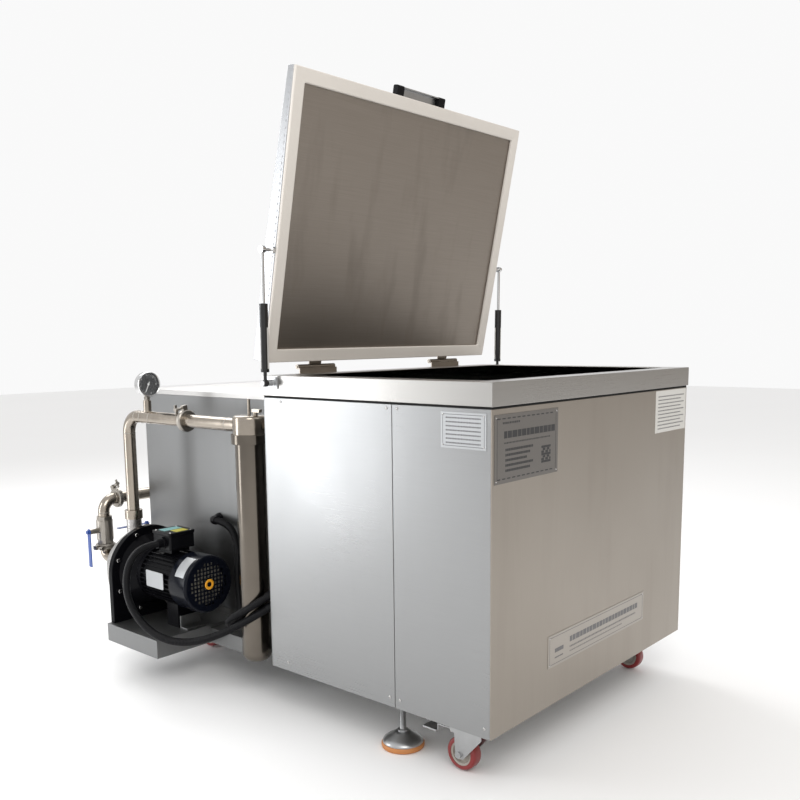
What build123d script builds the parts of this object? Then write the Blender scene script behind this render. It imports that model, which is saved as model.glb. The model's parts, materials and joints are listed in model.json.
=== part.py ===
"""Top-loading parts washer tank with a gas-strut lid, and its pump, filter and reservoir at the back.

Millimetres, +Z up. The washing cabinet's front faces -Y and the operator's left is -X. The model is laid
out about the middle of the cabinet with the floor at z = 0, and moved at the end so that its origin is the
middle of the whole machine's footprint. The lid is drawn shut and then swung open about its hinge line.
"""
from build123d import *
from math import atan2, cos, degrees, hypot, pi, radians, sin, tan
import os

# ---------------------------------------------------------------- driving dimensions
CAB_W = 900.0            # washing cabinet, left to right
CAB_D = 670.0            # washing cabinet, front to back
PANEL_H = 675.0          # height of the side panels
PANEL_Z = 120.0          # lower edge of the panels above the floor
PANEL_T = 2.0            # sheet thickness of the panels
PANEL_GAP = 1.5          # joint between two neighbouring panels
SEAM_Y = -77.0           # joint between the two panels of the left side
SHADOW_GAP = 5.0         # reveal between the panels and the rim
RIM_H = 48.0             # height of the rim's skirt
RIM_OVER = 3.0           # the rim stands proud of the panels by this much
RIM_T = 2.0              # sheet thickness of the rim
RIM_STEP = 17.0          # the land behind the tank mouth is this much wider than beside it
TUBE = 40.0              # square frame tube
TUBE_T = 3.0             # its wall
FRAME_Z = 120.0          # underside of the frame above the floor
FIT = 0.5                # clearance between pieces that are only assembled

TANK_DEPTH = 400.0       # basin, rim top to the inside of its floor
TANK_T = 2.5             # sheet thickness of the basin
TANK_LIP = 18.0          # flange that hangs the basin under the rim
RIM_LAND = TUBE + PANEL_T + TANK_T + FIT    # flat land beside and in front of the tank mouth
RIM_BACK = RIM_LAND + RIM_STEP              # flat land behind it
TRANSDUCER_R = 24.0      # ultrasonic transducers bonded under the basin
TRANSDUCER_H = 46.0
TRANSDUCER_COLS = 5
TRANSDUCER_ROWS = 3
HEATER_T = 8.0           # heater pads bonded to the basin's long walls
HEATER_H = 120.0

LID_W = CAB_W - 16.0     # lid, left to right
LID_D = CAB_D - 2.0      # lid, hinge edge to front edge
LID_REAR_T = 39.0        # shell height over its rear part
LID_FRONT_T = 19.0       # shell height at the front edge
LID_FLAT = 268.0         # length of the shell's level rear part
LID_SKIN = 2.0           # sheet thickness of shell and liner
SEAL_T = 8.0             # soft seal under the lid
SEAL_W = 32.0
SEAL_GAP = 2.0           # seal to rim with the lid shut
LID_SWING = 78.45        # degrees from shut to open
HINGE_BACK = 11.0        # hinge line behind the rim's rear face
HINGE_RISE = 16.0        # hinge line above the rim
HINGE_X = 262.0          # each hinge's middle from the centre line
HINGE_W = 130.0
HINGE_LEAF = 3.0
KNUCKLE_R = 6.0
HINGE_PIN_R = 3.0
PIN_PLAY = 0.08          # radial play of a pin or a shaft
KNUCKLE_PLAY = 0.6       # gap between neighbouring knuckles
HANDLE_L = 190.0
HANDLE_H = 25.0          # how far the handle stands off the lid
HANDLE_CAP = 25.0        # length of each end cap
HANDLE_DEEP = 17.0

STRUT_X = CAB_W / 2 + 25.0          # gas struts' plane from the centre line
STRUT_Y = CAB_D / 2 - 37.0          # lower pivot
STRUT_DROP = 17.0        # lower pivot below the rim top
STRUT_REACH = 280.5      # upper pivot from the hinge line, along the lid
STRUT_TUBE_R = 10.0
STRUT_TUBE_T = 1.5
STRUT_ROD_R = 4.0
STRUT_NECK = 26.0        # lower pivot to the end of the cylinder
STRUT_TUBE_L = 159.0
EYE_R = 8.5              # end fittings of the struts
EYE_W = 10.0
STUD_R = 4.0
RUN = 0.3                # clearance between curved faces that move past each other

CASTER_X = CAB_W / 2 - 62.0         # swivel casters under the cabinet's front
CASTER_Y = 75.0 - CAB_D / 2
CASTER_TRAIL = 38.0      # wheel axle behind the swivel axis
WHEEL_R = 37.5
WHEEL_W = 28.0
WHEEL_CORE_R = 27.0
WHEEL_LIFT = 2.0         # wheels' clearance while the machine stands on its feet
AXLE_R = 4.0
FORK_T = 2.5
CASTER_PLATE_T = 3.0
CASTER_PLATE_X = 84.0
CASTER_PLATE_Y = 64.0
PEDAL_SWING = 12.0       # brake pedal's travel, degrees
REAR_CASTER_X = 250.0
REAR_CASTER_Y = CAB_D / 2 + 515.0
FOOT_X = CAB_W / 2 - 62.0
FOOT_Y = -45.0
REAR_FOOT_Y = CAB_D / 2 + 675.0
FOOT_PAD_R = 50.0
FOOT_PAD_T = 13.0
FOOT_STEM_R = 8.0
FOOT_TRAVEL = 12.0       # how far a levelling foot still screws up

RES_W = 596.0            # reservoir behind the cabinet
RES_D = 726.0
RES_TOP = PANEL_Z + PANEL_H - 8.0
RES_GAP = 17.0           # from the cabinet's back
RES_T = 3.0
RES_LID_T = 3.0
RES_LID_FOLD = 14.0

PUMP_X = -430.0          # plane of the pump, the pipes and the filter
PUMP_Z = 277.0           # shaft height
FAN_Y = CAB_D / 2 + 276.0            # outer face of the motor's fan cover
FAN_R = 79.0
FAN_T = 2.5              # its face
BRACKET_Y = CAB_D / 2 + 551.0        # front face of the pump's mounting ring
BRACKET_T = 18.0
BRACKET_R = 127.0
LANTERN_L = 44.0         # polished cone between the motor and the ring
LANTERN_R1 = 104.0
LANTERN_T = 4.0
VOLUTE_R = 118.0         # pump casing's front flange
VOLUTE_RIM = 22.0        # its depth
VOLUTE_BODY_R = 90.0
VOLUTE_WALL = 8.0
VOLUTE_L = 88.0
IMPELLER_GAP = 4.0
MOTOR_R = 76.0           # over the fins
FIN_H = 7.0              # fins over the motor's core
MOTOR_CORE_R = MOTOR_R - FIN_H
FIN_T = 2.4
FIN_COUNT = 36
SHAFT_R = 10.0
PLINTH_LEFT = 138.0      # plinth's left edge from the pump's plane
PLINTH_Y0 = CAB_D / 2 + 329.0
PLINTH_Y1 = CAB_D / 2 + 571.0
PLINTH_H = 50.0
PLINTH_TOP = 142.0       # the tray the pump stands on, above the floor
PLINTH_T = 3.0
BOX_SIZE = 82.0          # terminal box on the motor
BOX_Y = CAB_D / 2 + 430.0
BOX_Z0 = 352.0
BOX_Z1 = 408.0

PIPE_R = 17.5            # all the stainless pipework
PIPE_T = 1.5
BEND_R = 50.0
ELBOW_R = 23.0           # tight elbow under the suction valve
RUN_Z = PANEL_Z + PANEL_H - 76.0            # level run from the pump to the filter
RISER_Y = CAB_D / 2 + 627.0          # pump outlet
RISER_Z0 = 430.0         # top of the pump's outlet union
TEE_Y = CAB_D / 2 + 527.0            # gauge tee
GAUGE_Z = RUN_Z + 93.0
GAUGE_R = 35.0
GAUGE_T = 28.0
CLAMP_Y = CAB_D / 2 + 345.0          # clamp in the level run
CLAMP_R = 30.0
CLAMP_W = 16.0
SUCTION_Y = CAB_D / 2 + 792.0       # suction column behind the pump
SUCTION_Z = 452.0        # its upper, level run from the reservoir
SUCTION_X = -230.0       # where that run leaves the reservoir's back
VALVE_Z = 360.0
VALVE_R = 25.0
VALVE_L = 84.0
LEVER_L = 108.0
LEVER_W = 16.0
LEVER_T = 3.0
LEVER_OUT = 52.0         # lever's plane from the valve's middle
DRAIN_X = -288.0
DRAIN_Z = 318.0
DRAIN_LEVER_L = 104.0

FILTER_Y = CAB_D / 2 + 82.0
FILTER_R = 38.0
FILTER_WALL = 1.5
FILTER_BOTTOM = 111.0
FILTER_HEAD_Z = RUN_Z - 23.0
FILTER_TOP = RUN_Z + 28.0
FILTER_HEAD_R = 42.0
FILTER_RING_R = 47.0
FILTER_RING_H = 20.0
CARTRIDGE_R = 30.0

CONDUIT_R = 10.0
GLAND_R = 13.0
GLAND_L = 24.0

# ---------------------------------------------------------------- derived places
half_w = CAB_W / 2
half_d = CAB_D / 2
panel_top = PANEL_Z + PANEL_H
rim_z0 = panel_top + SHADOW_GAP
rim_top = rim_z0 + RIM_H
rim_x = half_w + RIM_OVER
rim_y = half_d + RIM_OVER
frame_top = FRAME_Z + TUBE
hinge_y = rim_y + HINGE_BACK
hinge_z = rim_top + HINGE_RISE
seal_z = rim_top + SEAL_GAP
lid_y1 = half_d - RIM_T
lid_y0 = lid_y1 - LID_D
liner_z = seal_z + SEAL_T
shell_top = liner_z + LID_REAR_T
front_top = liner_z + LID_FRONT_T
mouth_x = half_w - RIM_LAND
mouth_y0 = -half_d + RIM_LAND
mouth_y1 = half_d - RIM_BACK
strut_z = rim_top - STRUT_DROP
swing = radians(LID_SWING)
stud_y = hinge_y - STRUT_REACH
stud_z = hinge_z + 1.0
res_y0 = half_d + RES_GAP
res_y1 = res_y0 + RES_D
res_x = RES_W / 2
plinth_x0 = PUMP_X - PLINTH_LEFT
plinth_x1 = -res_x - FIT
plinth_top = PLINTH_TOP
axle_z = WHEEL_LIFT + WHEEL_R
wheel_y = CASTER_Y + CASTER_TRAIL


# ---------------------------------------------------------------- helpers
def block(x0, x1, y0, y1, z0, z1):
    """A rectangular block between two corners."""
    return Pos((x0 + x1) / 2, (y0 + y1) / 2, (z0 + z1) / 2) * Box(x1 - x0, y1 - y0, z1 - z0)


def rod(axis, start, end, a, b, radius):
    """A cylinder along X, Y or Z from start to end; a and b are its other two coordinates in order."""
    mid, long = (start + end) / 2, abs(end - start)
    if axis == "x":
        return Pos(mid, a, b) * Rot(0, 90, 0) * Cylinder(radius, long)
    if axis == "y":
        return Pos(a, mid, b) * Rot(90, 0, 0) * Cylinder(radius, long)
    return Pos(a, b, mid) * Cylinder(radius, long)


def ring(axis, start, end, a, b, outer, inner):
    """A round sleeve."""
    over = 1.0
    return rod(axis, start, end, a, b, outer) - rod(axis, min(start, end) - over, max(start, end) + over, a, b, inner)


def tube_block(x0, x1, y0, y1, z0, z1, along, wall=TUBE_T):
    """A square tube, open at both ends, running along X, Y or Z."""
    inner = [x0 + wall, x1 - wall, y0 + wall, y1 - wall, z0 + wall, z1 - wall]
    index = "xyz".index(along) * 2
    inner[index], inner[index + 1] = (x0, y0, z0)["xyz".index(along)] - 1, (x1, y1, z1)["xyz".index(along)] + 1
    return block(x0, x1, y0, y1, z0, z1) - block(*inner)


def solids(*parts):
    """Several separate solids kept as one node."""
    found = []
    for part in parts:
        found += part.solids()
    return Compound(children=found)


def swept_tube(points, radius, wall, bend):
    """A hollow pipe along straight runs joined by arcs of one radius."""
    path = FilletPolyline(*points, radius=bend)
    section = Plane(origin=path @ 0, z_dir=path % 0)
    outer = sweep(section * Circle(radius), path=path)
    if wall <= 0:
        return outer
    return outer - sweep(section * Circle(radius - wall), path=path)


def both_sides(part):
    """The part and its mirror image across the cabinet's middle."""
    return [part, mirror(part, about=Plane.YZ)]


def swung(part, angle=LID_SWING):
    """Turns a piece drawn on the shut lid to the open lid's place."""
    return part.rotate(Axis((0, hinge_y, hinge_z), (1, 0, 0)), -angle)


nodes = {}

# ---------------------------------------------------------------- frame
post_x = half_w - PANEL_T
post_y = half_d - PANEL_T
frame_rails = [
    tube_block(-post_x, post_x, -post_y, -post_y + TUBE, FRAME_Z, frame_top, "x"),
    tube_block(-post_x, post_x, post_y - TUBE, post_y, FRAME_Z, frame_top, "x"),
    tube_block(-post_x, -post_x + TUBE, -post_y + TUBE, post_y - TUBE, FRAME_Z, frame_top, "y"),
    tube_block(post_x - TUBE, post_x, -post_y + TUBE, post_y - TUBE, FRAME_Z, frame_top, "y"),
]
post_top = rim_z0
posts = []
for sx in (-1, 1):
    for sy in (-1, 1):
        x_out, y_out = sx * post_x, sy * post_y
        x_in, y_in = x_out - sx * TUBE, y_out - sy * TUBE
        posts.append(tube_block(min(x_out, x_in), max(x_out, x_in), min(y_out, y_in), max(y_out, y_in),
                                frame_top, post_top, "z"))
rail_x = res_x - TUBE
rear_rails = [tube_block(sx * rail_x - (TUBE if sx < 0 else 0), sx * rail_x + (TUBE if sx > 0 else 0),
                         post_y, res_y1, FRAME_Z, frame_top, "y") for sx in (-1, 1)]
rear_cross = [tube_block(-rail_x, rail_x, y, y + TUBE, FRAME_Z, frame_top, "x")
              for y in (REAR_CASTER_Y - TUBE / 2, res_y1 - TUBE)]
outrigger_top = plinth_top - PLINTH_T
outriggers = [tube_block(plinth_x0 + PLINTH_T, -res_x, y, y + TUBE, outrigger_top - TUBE + PLINTH_T, outrigger_top, "x")
              for y in (PLINTH_Y0 + TUBE / 2, PLINTH_Y1 - TUBE * 1.5)]

# ---------------------------------------------------------------- basin, rim and what is bonded to the basin
inlet_x = -364.0         # filter's return pipe enters here
basin_z = rim_top - TANK_DEPTH
basin_lip_z = rim_top - RIM_T
basin_outer = block(-mouth_x - TANK_T, mouth_x + TANK_T, mouth_y0 - TANK_T, mouth_y1 + TANK_T,
                    basin_z - TANK_T, basin_lip_z)
basin_lip = block(-mouth_x - TANK_LIP, mouth_x + TANK_LIP, mouth_y0 - TANK_LIP, mouth_y1 + TANK_LIP,
                  basin_lip_z - TANK_T, basin_lip_z)
basin_hollow = block(-mouth_x, mouth_x, mouth_y0, mouth_y1, basin_z, rim_top + 1)
drain_r = PIPE_R - PIPE_T
basin_drain = rod("z", basin_z - TANK_T - 1, basin_z + 1, 0, 0, drain_r)
basin_inlet = rod("y", mouth_y1 - 1, mouth_y1 + TANK_T + 1, inlet_x, RUN_Z, PIPE_R - 3 + RUN)
nodes["wash_tank"] = (basin_outer + basin_lip) - basin_hollow - basin_drain - basin_inlet

rim_outer = block(-rim_x, rim_x, -rim_y, rim_y, rim_z0, rim_top)
rim_inner = block(-rim_x + RIM_T, rim_x - RIM_T, -rim_y + RIM_T, rim_y - RIM_T, rim_z0 - 1, basin_lip_z)
rim_mouth = block(-mouth_x, mouth_x, mouth_y0, mouth_y1, rim_z0, rim_top + 1)
nodes["rim_band"] = rim_outer - rim_inner - rim_mouth

transducers = []
for i in range(TRANSDUCER_COLS):
    for j in range(TRANSDUCER_ROWS):
        x = -mouth_x + 2 * mouth_x * (i + 0.5) / TRANSDUCER_COLS
        y = mouth_y0 + (mouth_y1 - mouth_y0) * (j + 0.5) / TRANSDUCER_ROWS
        if hypot(x, y) > TRANSDUCER_R + 3 * PIPE_R:
            z1 = basin_z - TANK_T
            transducers.append(rod("z", z1 - TRANSDUCER_H, z1, x, y, TRANSDUCER_R))
nodes["transducers"] = solids(*transducers)
heater_z = basin_z + HEATER_H / 2
heater_x = mouth_x * 0.7
nodes["heater_pads"] = solids(
    block(-heater_x, heater_x, mouth_y0 - TANK_T - HEATER_T, mouth_y0 - TANK_T, heater_z, heater_z + HEATER_H),
    block(-heater_x, heater_x, mouth_y1 + TANK_T, mouth_y1 + TANK_T + HEATER_T, heater_z, heater_z + HEATER_H))

# ---------------------------------------------------------------- panels
entry_z = 275.0          # where the conduits enter the cabinet's back
entry_step = 30.0        # from one conduit to the next
entry_x = -418.0
entry_r = CONDUIT_R + 1.5
outlet_z = basin_z - 70.0    # basin's drain pipe leaves here
nodes["front_panel"] = block(-half_w, half_w, -half_d, -half_d + PANEL_T, PANEL_Z, panel_top)
side_y0, side_y1 = -half_d + PANEL_T, half_d - PANEL_T
nodes["left_front_panel"] = block(-half_w, -post_x, side_y0, SEAM_Y - PANEL_GAP / 2, PANEL_Z, panel_top)
nodes["left_rear_panel"] = block(-half_w, -post_x, SEAM_Y + PANEL_GAP / 2, side_y1, PANEL_Z, panel_top)
nodes["right_panel"] = block(post_x, half_w, side_y0, side_y1, PANEL_Z, panel_top)
rear_panel = block(-half_w, half_w, half_d - PANEL_T, half_d, PANEL_Z, panel_top)
rear_panel -= rod("y", half_d - 5, half_d + 5, inlet_x, RUN_Z, PIPE_R + FIT)
rear_panel -= rod("y", half_d - 5, half_d + 5, 0, outlet_z, PIPE_R + FIT)
for x in (-rail_x - TUBE / 2, rail_x + TUBE / 2):
    rear_panel -= block(x - TUBE / 2 - FIT, x + TUBE / 2 + FIT, half_d - 5, half_d + 5, FRAME_Z, frame_top + FIT)
for i in range(2):
    rear_panel -= rod("y", half_d - 5, half_d + 5, entry_x, entry_z + i * entry_step, CONDUIT_R - 2)
nodes["rear_panel"] = rear_panel
nodes["bottom_panel"] = block(-post_x + TUBE + FIT, post_x - TUBE - FIT, -post_y + TUBE + FIT, post_y - TUBE - FIT,
                              FRAME_Z + TUBE / 2, FRAME_Z + TUBE / 2 + PANEL_T)

# screws of the two left panels, rivets and the lock nuts of the levelling feet are added further down
fasteners = []
SCREW_R = 3.5
SCREW_H = 1.6
SCREW_IN = 15.0          # from a panel's edge to its screws
SCREW_TOP = 8.5
SCREW_LOW = 22.0
screw_rows = ((panel_top - SCREW_TOP, ()), (PANEL_Z + SCREW_LOW, (-half_d + SCREW_IN,)))
for z, front_screws in screw_rows:
    for y in (SEAM_Y - SCREW_IN, SEAM_Y + SCREW_IN, half_d - 4 * SCREW_IN, *front_screws):
        for part in both_sides(rod("x", -half_w - SCREW_H, -half_w, y, z, SCREW_R)):
            fasteners.append(part)

# ---------------------------------------------------------------- plates and label
PLATE_T = 1.0
RIVET_R = 2.2
plates = {
    "info": ("front", 8.0 - half_w, 243.0 - half_w, panel_top - 149.0, panel_top - 11.0),
    "name": ("front", -234.0, 226.0, PANEL_Z + 88.0, PANEL_Z + 162.0),
    "data": ("left", 12.0 - half_d, 125.0 - half_d, panel_top - 81.0, panel_top - 8.0),
}
plate_solids = []
for side, a0, a1, z0, z1 in plates.values():
    inset = 6.0
    if side == "front":
        plate_solids.append(block(a0, a1, -half_d - PLATE_T, -half_d, z0, z1))
    else:
        plate_solids.append(block(-half_w - PLATE_T, -half_w, a0, a1, z0, z1))
    for a in (a0 + inset, a1 - inset):
        for z in (z0 + inset, z1 - inset):
            if side == "front":
                fasteners.append(rod("y", -half_d - PLATE_T - 1.0, -half_d - PLATE_T, a, z, RIVET_R))
            else:
                fasteners.append(rod("x", -half_w - PLATE_T - 1.0, -half_w - PLATE_T, a, z, RIVET_R))
notice_x0, notice_x1, notice_z0, notice_z1 = half_w - 185.0, half_w - 5.0, panel_top - 109.0, panel_top - 2.0
notice_t = 0.5
plate_solids.append(block(notice_x0, notice_x1, -half_d - notice_t, -half_d, notice_z0, notice_z1))
nodes["identification_plates"] = solids(*plate_solids)

# ---------------------------------------------------------------- lid, drawn shut
profile = Polyline((lid_y0, liner_z), (lid_y1, liner_z), (lid_y1, shell_top), (lid_y1 - LID_FLAT, shell_top),
                   (lid_y0, front_top), close=True)
slope = atan2(LID_REAR_T - LID_FRONT_T, LID_D - LID_FLAT)
inner_profile = Polyline((lid_y0 + LID_SKIN, liner_z - 1), (lid_y1 - LID_SKIN, liner_z - 1),
                         (lid_y1 - LID_SKIN, shell_top - LID_SKIN),
                         (lid_y1 - LID_FLAT, shell_top - LID_SKIN),
                         (lid_y0 + LID_SKIN, front_top - LID_SKIN), close=True)


def along_x(outline, length):
    """An outline drawn in the YZ plane, extruded evenly to both sides of the middle."""
    return extrude(Plane.YZ * make_face(outline), amount=length / 2, both=True)


lid_shell = along_x(profile, LID_W) - along_x(inner_profile, LID_W - 2 * LID_SKIN)
nodes["lid_shell"] = swung(lid_shell)
liner_in = LID_SKIN + FIT
liner = block(-LID_W / 2 + liner_in, LID_W / 2 - liner_in, lid_y0 + liner_in, lid_y1 - liner_in,
              liner_z, liner_z + LID_SKIN)
nodes["lid_liner"] = swung(liner)
seal = block(-LID_W / 2, LID_W / 2, lid_y0, lid_y1, seal_z, liner_z)
seal -= block(-LID_W / 2 + SEAL_W, LID_W / 2 - SEAL_W, lid_y0 + SEAL_W, lid_y1 - SEAL_W, seal_z - 1, liner_z + 1)
nodes["lid_seal"] = swung(seal)
fill_z0 = liner_z + LID_SKIN + FIT
fill_in = LID_SKIN + FIT
insulation_profile = Polyline((lid_y0 + fill_in, fill_z0), (lid_y1 - fill_in, fill_z0),
                              (lid_y1 - fill_in, shell_top - fill_in),
                              (lid_y1 - LID_FLAT, shell_top - fill_in),
                              (lid_y0 + fill_in, front_top - fill_in), close=True)
nodes["lid_insulation"] = swung(along_x(insulation_profile, LID_W - 2 * fill_in))

handle_z = liner_z + LID_FRONT_T / 2
handle_y0 = lid_y0 - HANDLE_H
cap_x = HANDLE_L / 2
caps = []
for sx in (-1, 1):
    cap = block(min(sx * cap_x, sx * (cap_x - HANDLE_CAP)), max(sx * cap_x, sx * (cap_x - HANDLE_CAP)),
                handle_y0, lid_y0, handle_z - HANDLE_DEEP / 2, handle_z + HANDLE_DEEP / 2)
    caps.append(fillet(cap.edges().filter_by(Axis.X).group_by(Axis.Y)[0], 4.0))
grip_x = cap_x - HANDLE_CAP
GRIP_T = 3.0
grip = block(-grip_x, grip_x, handle_y0 + 1.5, lid_y0, handle_z + HANDLE_DEEP / 2 - 1 - GRIP_T,
             handle_z + HANDLE_DEEP / 2 - 1)
grip += block(-grip_x, grip_x, handle_y0 + 1.5, handle_y0 + 1.5 + GRIP_T, handle_z - HANDLE_DEEP / 2 + 1,
              handle_z + HANDLE_DEEP / 2 - 1)
nodes["lid_handle"] = swung(solids(*caps, grip))

# ---------------------------------------------------------------- hinges
third = HINGE_W / 3
frame_leaves, lid_leaves, pins = [], [], []
for hx in (-HINGE_X, HINGE_X):
    x0, x1 = hx - HINGE_W / 2, hx + HINGE_W / 2
    bore = rod("x", x0 - 1, x1 + 1, hinge_y, hinge_z, HINGE_PIN_R + PIN_PLAY)
    outer_knuckles = (rod("x", x0, x0 + third - KNUCKLE_PLAY / 2, hinge_y, hinge_z, KNUCKLE_R)
                      + rod("x", x1 - third + KNUCKLE_PLAY / 2, x1, hinge_y, hinge_z, KNUCKLE_R))
    web_z = hinge_z - KNUCKLE_R
    leaf = block(x0, x1, rim_y, rim_y + HINGE_LEAF, rim_top - RIM_H * 0.8, web_z + HINGE_LEAF)
    for wx0, wx1 in ((x0, x0 + third - KNUCKLE_PLAY / 2), (x1 - third + KNUCKLE_PLAY / 2, x1)):
        leaf += block(wx0, wx1, rim_y, hinge_y, web_z, web_z + HINGE_LEAF)
    frame_leaves.append(leaf + outer_knuckles - bore)
    mid_knuckle = rod("x", x0 + third + KNUCKLE_PLAY / 2, x1 - third - KNUCKLE_PLAY / 2,
                      hinge_y, hinge_z, KNUCKLE_R)
    lid_web = block(x0 + third + KNUCKLE_PLAY / 2, x1 - third - KNUCKLE_PLAY / 2, lid_y1, hinge_y,
                    hinge_z + KNUCKLE_R - HINGE_LEAF, hinge_z + KNUCKLE_R)
    lid_leaf = block(x0, x1, lid_y1, lid_y1 + HINGE_LEAF, hinge_z + KNUCKLE_R - HINGE_LEAF,
                     shell_top - LID_SKIN)
    lid_leaves.append(lid_leaf + lid_web + mid_knuckle - bore)
    pins.append(rod("x", x0 - 2, x1 + 2, hinge_y, hinge_z, HINGE_PIN_R))
nodes["hinge_frame_leaves"] = solids(*frame_leaves, *pins)

# ---------------------------------------------------------------- gas struts
reach_y, reach_z = stud_y - hinge_y, stud_z - hinge_z
upper_y = hinge_y + reach_y * cos(swing) + reach_z * sin(swing)
upper_z = hinge_z - reach_y * sin(swing) + reach_z * cos(swing)
open_len = hypot(upper_y - STRUT_Y, upper_z - strut_z)
shut_len = hypot(stud_y - STRUT_Y, stud_z - strut_z)
open_dir = degrees(atan2(upper_z - strut_z, upper_y - STRUT_Y))
shut_dir = degrees(atan2(stud_z - strut_z, stud_y - STRUT_Y))
STRUT_STROKE = open_len - shut_len
STRUT_SWING = shut_dir - open_dir


def along_strut(part):
    """Moves a piece drawn upright from the lower pivot to lie along the open strut."""
    return Pos(0, STRUT_Y, strut_z) * Rot(open_dir - 90, 0, 0) * part


bracket_t = 3.0
strut_brackets, lid_studs, cylinders, rods = [], [], [], []
eye_x0, eye_x1 = STRUT_X - EYE_W / 2, STRUT_X + EYE_W / 2
for sx in (-1, 1):
    plate = block(rim_x, rim_x + bracket_t, STRUT_Y - 20, STRUT_Y + 20, strut_z - 14, strut_z + 14)
    boss = rod("x", rim_x, eye_x0 - 1.0, STRUT_Y, strut_z, STUD_R + 3.0)
    stud = rod("x", rim_x, eye_x1 + 1.0, STRUT_Y, strut_z, STUD_R)
    cap = rod("x", eye_x1 + 0.5, eye_x1 + 4.0, STRUT_Y, strut_z, STUD_R + 2.5)
    bracket = plate + boss + stud + cap
    eye = rod("x", eye_x0, eye_x1, 0, 0, EYE_R)
    neck = rod("z", EYE_R - 2, STRUT_NECK + 1, STRUT_X, 0, 4.2)
    tube_top = STRUT_NECK + STRUT_TUBE_L
    body = rod("z", STRUT_NECK, tube_top, STRUT_X, 0, STRUT_TUBE_R)
    body -= rod("z", STRUT_NECK + 4, tube_top - 4, STRUT_X, 0, STRUT_TUBE_R - STRUT_TUBE_T)
    body -= rod("z", tube_top - 5, tube_top + 1, STRUT_X, 0, STRUT_ROD_R + RUN)
    lower_bore = rod("x", eye_x0 - 1, eye_x1 + 1, 0, 0, STUD_R + RUN)
    cylinder = along_strut((eye + neck - lower_bore) + body)
    piston_z = tube_top - 22
    piston = rod("z", piston_z, piston_z + 10, STRUT_X, 0, STRUT_TUBE_R - STRUT_TUBE_T - RUN)
    shaft = rod("z", piston_z, open_len - EYE_R + 2, STRUT_X, 0, STRUT_ROD_R)
    top_eye = rod("x", eye_x0, eye_x1, 0, open_len, EYE_R)
    top_stud = rod("x", LID_W / 2 + RUN, eye_x0, 0, open_len, STUD_R)
    top_nut = rod("x", LID_W / 2 + RUN, LID_W / 2 + 6.0, 0, open_len, STUD_R + 4.0)
    strut_rod = along_strut(piston + shaft + top_eye + top_stud + top_nut)
    for group, part in ((strut_brackets, bracket), (cylinders, cylinder), (rods, strut_rod)):
        group.append(part if sx > 0 else mirror(part, about=Plane.YZ))
nodes["strut_brackets"] = solids(*strut_brackets)
nodes["strut_cylinders"] = solids(*cylinders)
nodes["strut_rods"] = solids(*rods)
nodes["hinge_lid_leaves"] = swung(solids(*lid_leaves))

# ---------------------------------------------------------------- casters
KING_R = 16.0
CROWN_Z = 98.0
king_gap = 0.4
plate_z0 = FRAME_Z - CASTER_PLATE_T
leg_in = WHEEL_W / 2 + 3.0
caster_sites = {"left": (-CASTER_X, CASTER_Y), "right": (CASTER_X, CASTER_Y)}
caster_plates = []
for x, y in caster_sites.values():
    top = block(x - CASTER_PLATE_X / 2, x + CASTER_PLATE_X / 2, y - CASTER_PLATE_Y / 2, y + CASTER_PLATE_Y / 2,
                plate_z0, FRAME_Z)
    race = rod("z", CROWN_Z + FORK_T + king_gap, plate_z0, x, y, KING_R + 8)
    pin = rod("z", CROWN_Z - 6, plate_z0, x, y, KING_R / 2)
    head = rod("z", CROWN_Z - 9, CROWN_Z - king_gap - 1, x, y, KING_R - 3)
    caster_plates.append(top + race + pin + head)
    for bx in (-1, 1):
        for by in (-1, 1):
            fasteners.append(rod("z", plate_z0 - 5, plate_z0, x + bx * (CASTER_PLATE_X / 2 - 9),
                                 y + by * (CASTER_PLATE_Y / 2 - 9), 5.0))
nodes["caster_plates"] = solids(*caster_plates)


def fork(x, y_king, y_axle, swivels):
    """A pressed fork with its axle bolt: a crown, two legs that narrow to the axle, and the bolt."""
    crown = block(x - leg_in - FORK_T, x + leg_in + FORK_T, y_king - 24, y_axle + 12, CROWN_Z, CROWN_Z + FORK_T)
    crown += rod("z", CROWN_Z, CROWN_Z + FORK_T, x, y_king, 24.0)
    if swivels:
        crown -= rod("z", CROWN_Z - 1, CROWN_Z + FORK_T + 1, x, y_king, KING_R / 2 + RUN)
    outline = Polyline((y_king - 20, CROWN_Z + FORK_T), (y_axle + 14, CROWN_Z + FORK_T), (y_axle + 10, axle_z - 9),
                       (y_axle - 10, axle_z - 9), (y_king - 20, CROWN_Z - 12), close=True)
    leg = extrude(Plane.YZ * make_face(outline), amount=FORK_T)
    legs = Pos(x + leg_in, 0, 0) * leg + Pos(x - leg_in - FORK_T, 0, 0) * leg
    axle_long = leg_in + FORK_T + 5.0
    axle = rod("x", x - axle_long, x + axle_long, y_axle, axle_z, AXLE_R)
    heads = [rod("x", x + s * axle_long, x + s * (leg_in + FORK_T), y_axle, axle_z, AXLE_R + 3.5) for s in (-1, 1)]
    return crown + legs + axle + heads[0] + heads[1]


def wheel(x, y):
    """A wheel with a tyre ring round a spoked core, two separate solids."""
    tread = ring("x", x - WHEEL_W / 2, x + WHEEL_W / 2, y, axle_z, WHEEL_R, WHEEL_CORE_R)
    tread = fillet(tread.edges().filter_by(GeomType.CIRCLE).sort_by(SortBy.RADIUS)[-2:], 4.0)
    core = ring("x", x - WHEEL_W / 2 + 1, x + WHEEL_W / 2 - 1, y, axle_z, WHEEL_CORE_R, AXLE_R + RUN)
    for s in (-1, 1):
        face = x + s * (WHEEL_W / 2 - 1)
        core -= ring("x", face, face - s * 7.0, y, axle_z, WHEEL_CORE_R - 5, AXLE_R + 7)
    hub_spacer = ring("x", x - leg_in + 0.4, x + leg_in - 0.4, y, axle_z, AXLE_R + 4, AXLE_R + RUN)
    return solids(tread, core + hub_spacer)


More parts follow.
